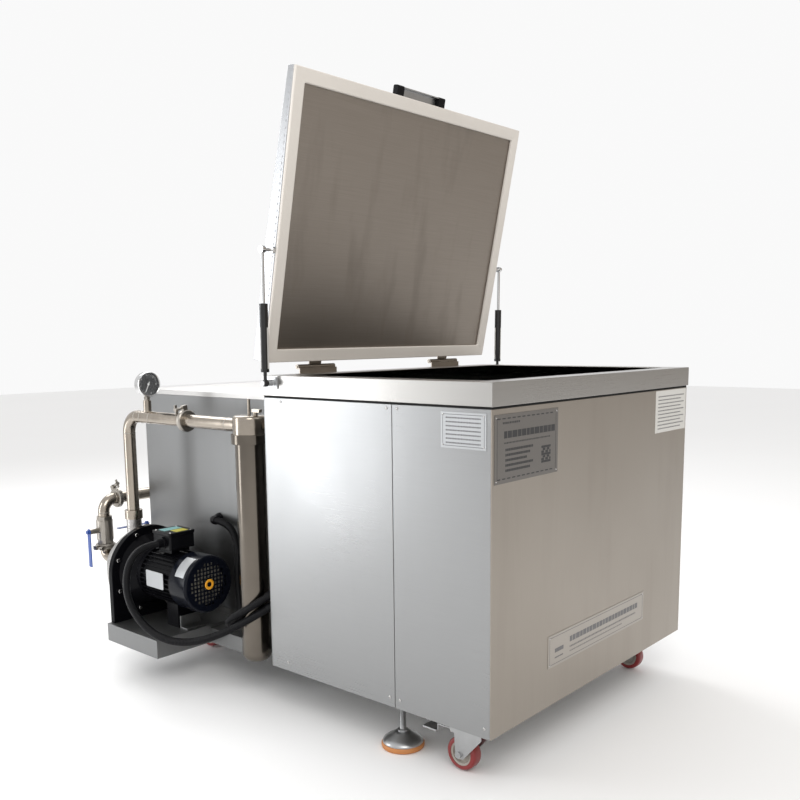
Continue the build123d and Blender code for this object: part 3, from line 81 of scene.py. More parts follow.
# ------------------------------------------------------------------------------------------- shader maths
class Wire:
    """A value in a material's node tree, with arithmetic that adds Math nodes."""

    def __init__(self, graph: "NodeTree", socket: bpy.types.NodeSocket) -> None:
        """Wraps an output socket of a graph."""
        self.graph = graph
        self.socket = socket

    def _math(self, operation: str, *values: "Wire | float") -> "Wire":
        """Adds one Math node over the given values."""
        return self.graph.node("ShaderNodeMath", {"operation": operation}, dict(enumerate(values)))

    def __add__(self, other: "Wire | float") -> "Wire":
        """Sum."""
        return self._math("ADD", self, other)

    def __radd__(self, other: float) -> "Wire":
        """Sum with a number on the left."""
        return self._math("ADD", other, self)

    def __sub__(self, other: "Wire | float") -> "Wire":
        """Difference."""
        return self._math("SUBTRACT", self, other)

    def __rsub__(self, other: float) -> "Wire":
        """Difference from a number."""
        return self._math("SUBTRACT", other, self)

    def __mul__(self, other: "Wire | float") -> "Wire":
        """Product."""
        return self._math("MULTIPLY", self, other)

    def __rmul__(self, other: float) -> "Wire":
        """Product with a number on the left."""
        return self._math("MULTIPLY", other, self)

    def __truediv__(self, other: "Wire | float") -> "Wire":
        """Quotient."""
        return self._math("DIVIDE", self, other)

    def __pow__(self, other: float) -> "Wire":
        """Power."""
        return self._math("POWER", self, other)

    def clamped(self) -> "Wire":
        """The value held between 0 and 1."""
        return self._math("MINIMUM", self._math("MAXIMUM", self, 0.0), 1.0)


class NodeTree:
    """A node tree and the one way in which nodes are added to it."""

    def __init__(self, tree: bpy.types.NodeTree) -> None:
        """Wraps the node tree of a material or of a world."""
        self.tree = tree

    def node(self, kind: str, settings: Optional[dict] = None, inputs: Optional[dict] = None,
             output: "int | str" = 0) -> Wire:
        """Adds a node.

        Args:
            kind: the node's type.
            settings: properties set before the inputs, such as an operation or a ramp's stops.
            inputs: values or wires by socket name or number.
            output: the wanted output socket.

        Returns:
            The wanted output as a wire.
        """
        node = self.tree.nodes.new(kind)
        for key, value in (settings or {}).items():
            if key == "stops":
                ramp = node.color_ramp.elements
                while len(ramp) < len(value):
                    ramp.new(1.0)
                for element, (position, colour) in zip(ramp, value):
                    element.position = position
                    element.color = (*colour, 1.0)
            else:
                setattr(node, key, value)
        for key, value in (inputs or {}).items():
            self.plug(node.inputs[key], value)
        return Wire(self, node.outputs[output])

    def plug(self, socket: bpy.types.NodeSocket, value: object) -> None:
        """Links a wire to a socket, or sets a plain value on it."""
        if isinstance(value, Wire):
            self.tree.links.new(value.socket, socket)
        elif isinstance(value, (tuple, list)) and len(value) == 3 and socket.type == "RGBA":
            socket.default_value = (*value, 1.0)
        else:
            socket.default_value = value


class Graph(NodeTree):
    """One material and the nodes that make it."""

    def __init__(self, name: str) -> None:
        """Starts a material with an empty principled shader.

        Args:
            name: the material's name.
        """
        self.material = bpy.data.materials.new(name)
        self.material.use_nodes = True
        super().__init__(self.material.node_tree)
        self.tree.nodes.clear()
        self.shader = self.tree.nodes.new("ShaderNodeBsdfPrincipled")
        output = self.tree.nodes.new("ShaderNodeOutputMaterial")
        self.tree.links.new(self.shader.outputs[0], output.inputs[0])
        self._point: Optional[Wire] = None

    def set(self, **values: object) -> "Graph":
        """Sets the principled shader's sockets; underscores in a name stand for spaces."""
        for key, value in values.items():
            self.plug(self.shader.inputs[key.replace("_", " ")], value)
        return self

    @property
    def point(self) -> Wire:
        """Object coordinates."""
        if self._point is None:
            self._point = self.node("ShaderNodeTexCoord", output="Object")
        return self._point

    def noise(self, scale: "float | Triple", detail: float = 3.0, roughness: float = 0.55) -> Wire:
        """Noise on object coordinates.

        Args:
            scale: cells per metre, one number or one for each axis.
            detail: octaves.
            roughness: how much the finer octaves count.

        Returns:
            A value around 0.5.
        """
        stretch = scale if isinstance(scale, tuple) else (scale, scale, scale)
        place = self.node("ShaderNodeMapping", inputs={"Vector": self.point, "Scale": stretch})
        return self.node("ShaderNodeTexNoise", inputs={"Vector": place, "Scale": 1.0, "Detail": detail,
                                                       "Roughness": roughness})

    def blend(self, first: "Wire | Triple", second: "Wire | Triple", factor: "Wire | float") -> Wire:
        """Mixes two colours."""
        return self.node("ShaderNodeMix", {"data_type": "RGBA"}, {0: factor, 6: first, 7: second}, 2)

    def bump(self, height: Wire, distance: float, strength: float = 1.0) -> "Graph":
        """Feeds a height, in units of the given distance in metres, to the shader's normal."""
        normal = self.node("ShaderNodeBump", inputs={"Height": height, "Distance": distance,
                                                     "Strength": strength})
        return self.set(Normal=normal)


def scaled(colour: Triple, by: float) -> Triple:
    """A colour made lighter or darker."""
    return (min(colour[0] * by, 1.0), min(colour[1] * by, 1.0), min(colour[2] * by, 1.0))


class Grain(Enum):
    """Which way the brush went over a sheet of steel; the value stretches the noise along each axis."""

    UPRIGHT = (900.0, 900.0, 9.0)
    LEVEL = (9.0, 9.0, 900.0)
    ACROSS = (7.0, 900.0, 900.0)
    ROUND = (220.0, 220.0, 220.0)


@dataclass(frozen=True)
class BrushedSteel:
    """Stainless sheet with a brushed grain, faint blotches and handling smears."""

    name: str
    colour: Triple = (0.55, 0.54, 0.52)
    grain: Grain = Grain.LEVEL
    roughness: float = 0.36
    contrast: float = 0.10
    smear: float = 0.10
    metallic: float = 1.0

    def make(self) -> bpy.types.Material:
        """Builds the material: grain drives colour, roughness and a very shallow bump."""
        graph = Graph(self.name)
        lines = graph.noise(self.grain.value, 4.0, 0.65)
        blotch = graph.noise(2.6, 3.0, 0.5)
        drip = graph.noise((14.0, 14.0, 1.6), 3.0, 0.6)
        tint = graph.blend(scaled(self.colour, 1.0 - self.contrast),
                           scaled(self.colour, 1.0 + self.contrast), lines)
        dull = ((drip - 0.52) * 3.0).clamped() * self.smear
        graph.set(Metallic=self.metallic, Base_Color=graph.blend(tint, scaled(self.colour, 0.72), dull),
                  Roughness=(lines - 0.5) * 0.16 + (blotch - 0.5) * 0.20 + dull * 0.5 + self.roughness)
        graph.bump(lines, 0.00003, 0.6)
        return graph.material


@dataclass(frozen=True)
class PolishedSteel:
    """Bright tube and castings with a soft polish, slight waviness and cloudy patches."""

    name: str
    colour: Triple = (0.62, 0.60, 0.57)
    roughness: float = 0.18

    def make(self) -> bpy.types.Material:
        """Builds the material."""
        graph = Graph(self.name)
        cloud = graph.noise(34.0, 4.0, 0.6)
        fine = graph.noise(420.0, 2.0, 0.5)
        graph.set(Metallic=1.0,
                  Base_Color=graph.blend(scaled(self.colour, 0.82), scaled(self.colour, 1.1), cloud),
                  Roughness=(cloud - 0.4) * 0.22 + (fine - 0.5) * 0.05 + self.roughness)
        graph.bump(cloud * 0.7 + fine * 0.3, 0.00012, 0.5)
        return graph.material


@dataclass(frozen=True)
class Coating:
    """Paint, rubber, vinyl or moulded plastic: a mottled colour with a fine orange peel and settled dust."""

    name: str
    colour: Triple
    roughness: float = 0.4
    mottle: float = 0.12
    peel: float = 260.0
    depth: float = 0.00008
    dust: float = 0.06
    coat: float = 0.0
    shine: float = 0.5

    def make(self) -> bpy.types.Material:
        """Builds the material."""
        graph = Graph(self.name)
        skin = graph.noise(self.peel, 3.0, 0.55)
        patch = graph.noise(9.0, 4.0, 0.6)
        body = graph.blend(scaled(self.colour, 1.0 - self.mottle),
                           scaled(self.colour, 1.0 + self.mottle), patch)
        settled = ((patch - 0.48) * 2.5).clamped() * self.dust
        graph.set(Base_Color=graph.blend(body, (0.55, 0.53, 0.50), settled),
                  Roughness=(patch - 0.5) * 0.2 + (skin - 0.5) * 0.08 + self.roughness,
                  Coat_Weight=self.coat, Coat_Roughness=0.15, Specular_IOR_Level=self.shine)
        graph.bump(skin, self.depth, 0.7)
        return graph.material


@dataclass(frozen=True)
class Plated:
    """Zinc, chrome or bare cast metal: metallic with mottled crystals."""

    name: str
    colour: Triple
    roughness: float = 0.3
    scale: float = 60.0
    depth: float = 0.00006

    def make(self) -> bpy.types.Material:
        """Builds the material."""
        graph = Graph(self.name)
        crystal = graph.noise(self.scale, 5.0, 0.6)
        stain = graph.noise(11.0, 3.0, 0.5)
        graph.set(Metallic=1.0,
                  Base_Color=graph.blend(scaled(self.colour, 0.74), scaled(self.colour, 1.12),
                                         crystal * 0.6 + stain * 0.4),
                  Roughness=(crystal - 0.5) * 0.22 + self.roughness)
        graph.bump(crystal, self.depth, 0.6)
        return graph.material


@dataclass(frozen=True)
class Printed:
    """Label stock or an anodised plate: nearly flat colour with a faint print grain."""

    name: str
    colour: Triple
    metallic: float = 0.0
    roughness: float = 0.45

    def make(self) -> bpy.types.Material:
        """Builds the material."""
        graph = Graph(self.name)
        grain = graph.noise(700.0, 2.0, 0.5)
        fade = graph.noise(16.0, 2.0, 0.5)
        graph.set(Metallic=self.metallic,
                  Base_Color=graph.blend(scaled(self.colour, 0.88), scaled(self.colour, 1.08),
                                         grain * 0.5 + fade * 0.5),
                  Roughness=(fade - 0.5) * 0.2 + self.roughness)
        graph.bump(grain, 0.00002, 0.5)
        return graph.material


@dataclass(frozen=True)
class ClearLens:
    """The gauge's window."""

    name: str

    def make(self) -> bpy.types.Material:
        """Builds the material: mostly clear, with a little haze that varies."""
        graph = Graph(self.name)
        haze = graph.noise(90.0, 2.0, 0.5)
        graph.set(Base_Color=(0.9, 0.93, 0.95), Alpha=haze * 0.03 + 0.03, Roughness=haze * 0.05 + 0.04,
                  Specular_IOR_Level=0.25)
        graph.bump(haze, 0.00001, 0.5)
        return graph.material


class Finish(Enum):
    """Every finish on the machine."""

    SIDE = BrushedSteel("side_panel_steel", (0.31, 0.313, 0.315), Grain.LEVEL, 0.31, 0.05, 0.08)
    # The front panel's warm brown tint is painted reflection of a warm brown floor; the steel is the same as
    # the grey side panels'.
    FRONT = BrushedSteel("front_panel_steel", (0.37, 0.335, 0.295), Grain.UPRIGHT, 0.40, 0.09, 0.12)
    RIM = BrushedSteel("rim_steel", (0.40, 0.39, 0.375), Grain.ACROSS, 0.30, 0.08, 0.08)
    BASIN = BrushedSteel("basin_steel", (0.78, 0.74, 0.68), Grain.LEVEL, 0.40, 0.08, 0.14, 0.45)
    LINER = BrushedSteel("lid_liner_steel", (0.33, 0.295, 0.26), Grain.ACROSS, 0.46, 0.20, 0.35)
    LID = BrushedSteel("lid_shell_steel", (0.40, 0.405, 0.415), Grain.ACROSS, 0.34, 0.08, 0.10)
    RESERVOIR = BrushedSteel("reservoir_steel", (0.215, 0.217, 0.217), Grain.LEVEL, 0.46, 0.08, 0.14)
    COVER = BrushedSteel("reservoir_cover_steel", (0.52, 0.51, 0.50), Grain.ACROSS, 0.36, 0.08, 0.10)
    FRAME = BrushedSteel("frame_steel", (0.36, 0.355, 0.345), Grain.ROUND, 0.42, 0.10, 0.20)
    PIPE = PolishedSteel("pipe_steel", (0.36, 0.318, 0.27), 0.17)
    CANISTER = PolishedSteel("canister_steel", (0.15, 0.132, 0.112), 0.16)
    CASING = PolishedSteel("pump_casing_steel", (0.42, 0.41, 0.40), 0.26)
    CAST = Plated("cast_steel", (0.36, 0.335, 0.30), 0.32, 240.0, 0.0002)
    ZINC = Plated("zinc_plate", (0.46, 0.465, 0.47), 0.33, 45.0)
    CHROME = Plated("bright_chrome", (0.66, 0.66, 0.66), 0.10, 30.0, 0.00002)
    SCREW = Plated("screw_steel", (0.52, 0.51, 0.50), 0.22, 120.0)
    HINGE = Plated("hinge_steel", (0.36, 0.325, 0.285), 0.34, 80.0)
    BLACK = Coating("black_enamel", (0.003, 0.003, 0.004), 0.24, 0.2, 300.0, 0.00008, 0.0, 0.0, 0.07)
    NAVY = Coating("fan_cover_enamel", (0.004, 0.005, 0.009), 0.18, 0.2, 240.0, 0.00006, 0.0, 0.03, 0.12)
    BLACK_PLASTIC = Coating("black_plastic", (0.004, 0.004, 0.005), 0.34, 0.2, 500.0, 0.00008, 0.0, 0.0, 0.16)
    GLOSS_BLACK = Coating("strut_black", (0.008, 0.008, 0.008), 0.16, 0.1, 90.0, 0.00002, 0.01, 0.2, 0.4)
    CONDUIT = Coating("conduit_black", (0.005, 0.005, 0.006), 0.34, 0.2, 700.0, 0.00005, 0.0, 0.0, 0.14)
    # Near-black finish of the strip under the rim: painted shadow in the gap.
    SHADOW = Coating("gap_sealant", (0.012, 0.012, 0.012), 0.75, 0.2, 300.0, 0.0001, 0.04, 0.0, 0.2)
    SEAL = Coating("seal_cream", (0.70, 0.66, 0.61), 0.62, 0.05, 160.0, 0.00022, 0.10, 0.0, 0.3)
    WOOL = Coating("mineral_wool", (0.52, 0.48, 0.36), 0.95, 0.3, 120.0, 0.0012, 0.2)
    TREAD = Coating("red_tread", (0.20, 0.010, 0.010), 0.32, 0.15, 130.0, 0.00006, 0.04, 0.2)
    CORE = Coating("wheel_core", (0.30, 0.27, 0.235), 0.5, 0.12, 200.0, 0.00012, 0.20)
    ORANGE = Coating("orange_pad", (0.50, 0.20, 0.06), 0.55, 0.15, 180.0, 0.0002, 0.12)
    HUB_ORANGE = Coating("hub_orange", (0.90, 0.40, 0.02), 0.4, 0.06, 300.0, 0.00005, 0.02)
    FAN = Coating("fan_cream", (0.42, 0.40, 0.33), 0.5, 0.1, 200.0, 0.0001, 0.05)
    BLUE = Coating("blue_vinyl", (0.010, 0.055, 0.27), 0.30, 0.12, 160.0, 0.00008, 0.04, 0.3)
    SILICONE = Coating("heater_silicone", (0.40, 0.10, 0.05), 0.7, 0.1, 400.0, 0.0001, 0.05)
    PAPER = Printed("label_white", (0.62, 0.61, 0.58), 0.0, 0.5)
    PLATE = Printed("plate_grey", (0.15, 0.140, 0.130), 0.35, 0.42)
    PALE_PLATE = Printed("plate_silver", (0.42, 0.43, 0.44), 0.55, 0.36)
    WARM_PLATE = Printed("plate_champagne", (0.40, 0.37, 0.335), 0.55, 0.38)
    INK = Printed("print_black", (0.025, 0.025, 0.027), 0.0, 0.5)
    GREY_INK = Printed("print_grey", (0.14, 0.14, 0.145), 0.0, 0.5)
    PALE_INK = Printed("print_pale", (0.75, 0.75, 0.74), 0.0, 0.5)
    DIAL = Coating("dial_black", (0.006, 0.006, 0.007), 0.5, 0.1, 500.0, 0.00001, 0.0, 0.0, 0.15)
    SKY = Printed("sticker_sky_blue", (0.22, 0.46, 0.46), 0.0, 0.4)
    YELLOW = Printed("sticker_yellow", (0.55, 0.50, 0.06), 0.0, 0.4)
    MEDIA = Coating("filter_media", (0.78, 0.77, 0.72), 0.9, 0.1, 160.0, 0.0006, 0.1)
    LENS = ClearLens("gauge_lens")
    NEEDLE = Printed("needle_white", (0.85, 0.85, 0.84), 0.0, 0.35)

    def material(self) -> bpy.types.Material:
        """The finish's material, built once."""
        look = self.value.name + "_look"
        found = bpy.data.materials.get(look)
        if found is None:
            found = self.value.make()
            found.name = look
        return found


# ------------------------------------------------------------------------------------------- surfaces
@dataclass
class Surface:
    """Points and faces, as arrays, before they become a mesh."""

    points: np.ndarray
    faces: list[np.ndarray] = field(default_factory=list)

    def __add__(self, other: "Surface") -> "Surface":
        """Both surfaces in one."""
        moved = [faces + len(self.points) for faces in other.faces]
        return Surface(np.vstack([self.points, other.points]), self.faces + moved)

    def moved(self, matrix: np.ndarray) -> "Surface":
        """The surface through a 4 by 4 matrix."""
        return Surface(self.points @ matrix[:3, :3].T + matrix[:3, 3], self.faces)

    def repeated(self, offsets: np.ndarray) -> "Surface":
        """A copy at each offset: every point is the template's point plus the offset."""
        count = len(self.points)
        points = (self.points[None, :, :] + offsets[:, None, :]).reshape(-1, 3)
        steps = (np.arange(len(offsets)) * count)[:, None, None]
        return Surface(points, [(faces[None] + steps).reshape(-1, faces.shape[1]) for faces in self.faces])


def joined(surfaces: Sequence[Surface]) -> Surface:
    """All the surfaces in one, in their order."""
    return reduce(Surface.__add__, surfaces)


def grid(points: np.ndarray, wrap: bool = True) -> Surface:
    """Quads over a grid: corner (i, j) joins (i + 1, j), (i + 1, j + 1) and (i, j + 1).

    Args:
        points: rows by columns by 3.
        wrap: whether the last column joins the first.

    Returns:
        The surface.
    """
    rows, columns = points.shape[:2]
    index = np.arange(rows * columns).reshape(rows, columns)
    if wrap:
        index = np.hstack([index, index[:, :1]])
    faces = np.stack([index[:-1, :-1], index[1:, :-1], index[1:, 1:], index[:-1, 1:]], -1).reshape(-1, 4)
    return Surface(points.reshape(-1, 3), [faces])


def revolved(profile: Sequence[tuple[float, float]], sides: int = 48) -> Surface:
    """A profile of (radius, height) pairs turned about local Z: x = r cos t, y = r sin t, z = h.

    Args:
        profile: in millimetres; a radius of 0 at either end closes the surface.
        sides: steps round the axis.

    Returns:
        The surface in metres.
    """
    pairs = np.array(profile, float) / 1000
    turn = np.linspace(0, 2 * np.pi, sides, endpoint=False)
    points = np.stack([pairs[:, 0, None] * np.cos(turn), pairs[:, 0, None] * np.sin(turn),
                       np.repeat(pairs[:, 1, None], sides, 1)], -1)
    return grid(points)


def slab(width: float, depth: float, height: float, corner: float = 0.0, steps: int = 6) -> Surface:
    """A plate with rounded corners: a rounded rectangle carried from z = 0 to the height, closed at its ends.

    Args:
        width: along x, in millimetres.
        depth: along y.
        height: along z.
        corner: radius of the upright corners.
        steps: points in each corner.

    Returns:
        The surface in metres, centred on x and y.
    """
    arc = np.linspace(0, np.pi / 2, steps)
    turn = (arc[None, :] + np.arange(4)[:, None] * np.pi / 2).ravel()
    sx = np.repeat([1, -1, -1, 1], steps) * (width / 2 - corner)
    sy = np.repeat([1, 1, -1, -1], steps) * (depth / 2 - corner)
    ring = np.stack([sx + corner * np.cos(turn), sy + corner * np.sin(turn)], -1)
    soft = min(0.4, height / 4)
    heights = np.array([0, 0, soft, height - soft, height, height])
    inset = 1 - np.array([1, soft / width, 0, 0, soft / width, 1])
    points = np.concatenate([ring[None] * inset[:, None, None],
                             np.broadcast_to(heights[:, None, None], (6, len(ring), 1))], -1)
    return grid(points / 1000)


def mirrored(half: Sequence[tuple[float, float]]) -> list[tuple[float, float]]:
    """A closed profile from its upper half, which runs from the inside out: the half's mirror image in height
    comes first, then the half from the outside in, and the first point again."""
    lower = [(radius, -height) for radius, height in half]
    return [*lower, *half[::-1], lower[0]]


def tube(path: np.ndarray, radius: np.ndarray, sides: int, side: Triple) -> Surface:
    """Rings round a path: p(s, t) = path(s) + r(s) (n cos t + b sin t), with closed ends.

    Here n is square to the path and as near as can be to the given side vector, and b is square to both.

    Args:
        path: points in metres.
        radius: one radius for each point, in metres.
        sides: points round each ring.
        side: a direction that the path never runs along.

    Returns:
        The surface.
    """
    ahead = np.gradient(path, axis=0)
    ahead /= np.linalg.norm(ahead, axis=1, keepdims=True)
    towards = np.array(side, float) / np.linalg.norm(side)
    normal = towards - ahead * (ahead @ towards)[:, None]
    normal /= np.linalg.norm(normal, axis=1, keepdims=True)
    across = np.cross(ahead, normal)
    turn = np.linspace(0, 2 * np.pi, sides, endpoint=False)
    ring = normal[:, None] * np.cos(turn)[None, :, None] + across[:, None] * np.sin(turn)[None, :, None]
    points = path[:, None] + ring * radius[:, None, None]
    start, end = (np.broadcast_to(point, (1, sides, 3)) for point in (path[0], path[-1]))
    return grid(np.concatenate([start, points, end]))


def looking(towards: Triple, up: Triple = (0, 0, 1)) -> np.ndarray:
    """A turn that carries local Z to a direction, with local Y as near as can be to up."""
    z = np.array(towards, float)
    z /= np.linalg.norm(z)
    y = np.array(up, float)
    if abs(z @ y) > 0.99:
        y = np.array([0.0, 1.0, 0.0])
    y = y - z * (z @ y)
    y /= np.linalg.norm(y)
    matrix = np.eye(4)
    matrix[:3, 0], matrix[:3, 1], matrix[:3, 2] = np.cross(y, z), y, z
    return matrix


@dataclass
class Bench:
    """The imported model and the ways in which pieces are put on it."""

    frame: dict
    open_angle: float = 78.45
    hinge_y: float = 349.0
    hinge_z: float = 864.0

    def __post_init__(self) -> None:
        """Finds the cabinet's middle from the rim."""
        low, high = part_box("rim_band")
        self.middle = np.array([(low[0] + high[0]) / 2, (low[1] + high[1]) / 2, 0.0])
        self.slots = {part["node"]: part["material_slot"] for part in self.frame["record"]["subparts"]}
        self.bodies = {node: body for body, nodes in self.frame["record"]["behaviour"]["bodies"].items()
                       for node in nodes}

    def at(self, x: float, y: float, z: float) -> np.ndarray:
        """A place in the row frame, from millimetres about the cabinet's middle."""
        return np.array([x, y, z]) / 1000 + self.middle

    def seat(self, place: Triple, towards: Triple = (0, 0, 1), up: Triple = (0, 0, 1)) -> np.ndarray:
        """A matrix that puts local Z along a direction, at a place in millimetres from the middle."""
        matrix = looking(towards, up)
        matrix[:3, 3] = self.at(*place)
        return matrix

    def swing(self) -> np.ndarray:
        """The turn from the shut lid to the open one: a rotation about X through the hinge line."""
        angle = math.radians(-self.open_angle)
        pivot = self.at(0, self.hinge_y, self.hinge_z)
        matrix = np.eye(4)
        matrix[1:3, 1:3] = [[math.cos(angle), -math.sin(angle)], [math.sin(angle), math.cos(angle)]]
        matrix[:3, 3] = pivot - matrix[:3, :3] @ pivot
        return matrix

    def box(self, node: str) -> tuple[np.ndarray, np.ndarray]:
        """A node's box in millimetres about the cabinet's middle."""
        low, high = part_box(node)
        return (np.array(low) - self.middle) * 1000, (np.array(high) - self.middle) * 1000

    def span(self, data: bpy.types.Mesh, island: np.ndarray) -> tuple[np.ndarray, np.ndarray]:
        """The box of some of a mesh's vertices, in millimetres about the cabinet's middle."""
        points = (corners(data)[island] - self.middle) * 1000
        return points.min(0), points.max(0)

    def put(self, name: str, surface: Surface, finish: Finish, body: str, like: str, smooth: float = 40.0,
            bevel: float = 0.0, stands_for: Sequence[str] = ()) -> bpy.types.Object:
        """Makes a piece from a surface and lets it ride on a body.

        Args:
            name: the piece's name.
            surface: in the row frame, in metres.
            finish: what it is made of.
            body: the CAD body that carries it.
            like: a CAD node; not used.
            smooth: edges sharper than this, in degrees, stay crisp.
            bevel: width of its rounded edges, in metres.
            stands_for: CAD nodes that it replaces.

        Returns:
            The piece.
        """
        data = bpy.data.meshes.new(name)
        quads = [tuple(face) for faces in surface.faces for face in faces.tolist()]
        data.from_pydata(surface.points.tolist(), [], quads)
        shape = bmesh.new()
        shape.from_mesh(data)
        bmesh.ops.remove_doubles(shape, verts=shape.verts, dist=1e-7)
        bmesh.ops.dissolve_degenerate(shape, edges=shape.edges, dist=1e-7)
        bmesh.ops.recalc_face_normals(shape, faces=shape.faces)
        shape.to_mesh(data)
        shape.free()
        return self._finish(name, data, finish, body, smooth, bevel, stands_for)

    def skin(self, node: str, finish: Finish, bevel: float = 0.0006, smooth: float = 32.0, name: str = "",
             keep: Optional[Callable[[np.ndarray, np.ndarray], bool]] = None, first: bool = True
             ) -> bpy.types.Object:
        """A copy of a CAD node with its triangles merged, its edges rounded and its curves shaded smooth.

        Args:
            node: the CAD node.
            finish: what it is made of.
            bevel: width of its rounded edges, in metres.
            smooth: edges sharper than this, in degrees, stay crisp or get rounded.
            name: the piece's name, if it isn't the node's.
            keep: says which loose pieces of the node to keep, from their boxes in millimetres.
            first: whether this piece is the one that stands for the node.

        Returns:
            The piece.
        """
        data = self.frame["nodes"][node].data.copy()
        shape = bmesh.new()
        shape.from_mesh(data)
        bmesh.ops.remove_doubles(shape, verts=shape.verts, dist=1e-6)
        if keep:
            shape.to_mesh(data)
            shape.verts.ensure_lookup_table()
            drop = [island for island in islands(data) if not keep(*self.span(data, island))]
            unwanted = [shape.verts[index] for island in drop for index in island.tolist()]
            bmesh.ops.delete(shape, geom=unwanted, context="VERTS")
        bmesh.ops.dissolve_limit(shape, angle_limit=math.radians(0.4), verts=shape.verts, edges=shape.edges)
        shape.to_mesh(data)
        shape.free()
        title = name or node + "_skin"
        stands_for = (node,) if first else ()
        return self._finish(title, data, finish, self.bodies[node], smooth, bevel, stands_for)

    def _finish(self, name: str, data: bpy.types.Mesh, finish: Finish, body: str, smooth: float,
                bevel: float, stands_for: Sequence[str]) -> bpy.types.Object:
        """Gives a mesh its material, shading, bevel and body."""
        for leftover in ("custom_normal", "sharp_edge", "sharp_face"):
            if leftover in data.attributes:
                data.attributes.remove(data.attributes[leftover])
        data.materials.clear()
        data.materials.append(finish.material())
        data.polygons.foreach_set("use_smooth", np.ones(len(data.polygons), bool))
        data.polygons.foreach_set("material_index", np.zeros(len(data.polygons), np.int32))
        data.set_sharp_from_angle(angle=math.radians(smooth))
        piece = bpy.data.objects.new(name, data)
        bpy.context.scene.collection.objects.link(piece)
        if bevel:
            edge = piece.modifiers.new("edges", "BEVEL")
            edge.width = bevel
            edge.segments = 2
            edge.limit_method = "ANGLE"
            edge.angle_limit = math.radians(smooth)
            edge.harden_normals = False
            edge.miter_outer = "MITER_ARC"
        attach(piece, body)
        if stands_for:
            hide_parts(*stands_for)
        LOG.info("%s: %d faces", name, len(data.polygons))
        return piece


def corners(data: bpy.types.Mesh) -> np.ndarray:
    """A mesh's vertex coordinates."""
    flat = np.empty(len(data.vertices) * 3, np.float32)
    data.vertices.foreach_get("co", flat)
    return flat.reshape(-1, 3).astype(float)


def islands(data: bpy.types.Mesh) -> list[np.ndarray]:
    """The separate shells of a mesh, each as its vertices' numbers.

    Every vertex starts with its own number as its label. Both ends of each edge then take the smaller of
    their two labels, and each label the label of the vertex that it names, until nothing changes.
    """
    ends = np.empty(len(data.edges) * 2, np.int32)
    data.edges.foreach_get("vertices", ends)
    first, second = ends.reshape(-1, 2).T
    label = np.arange(len(data.vertices))
    while True:
        least = np.minimum(label[first], label[second])
        spread = label.copy()
        np.minimum.at(spread, first, least)
        np.minimum.at(spread, second, least)
        spread = spread[spread]
        if np.array_equal(spread, label):
            return [np.flatnonzero(label == root) for root in np.unique(label)]
        label = spread


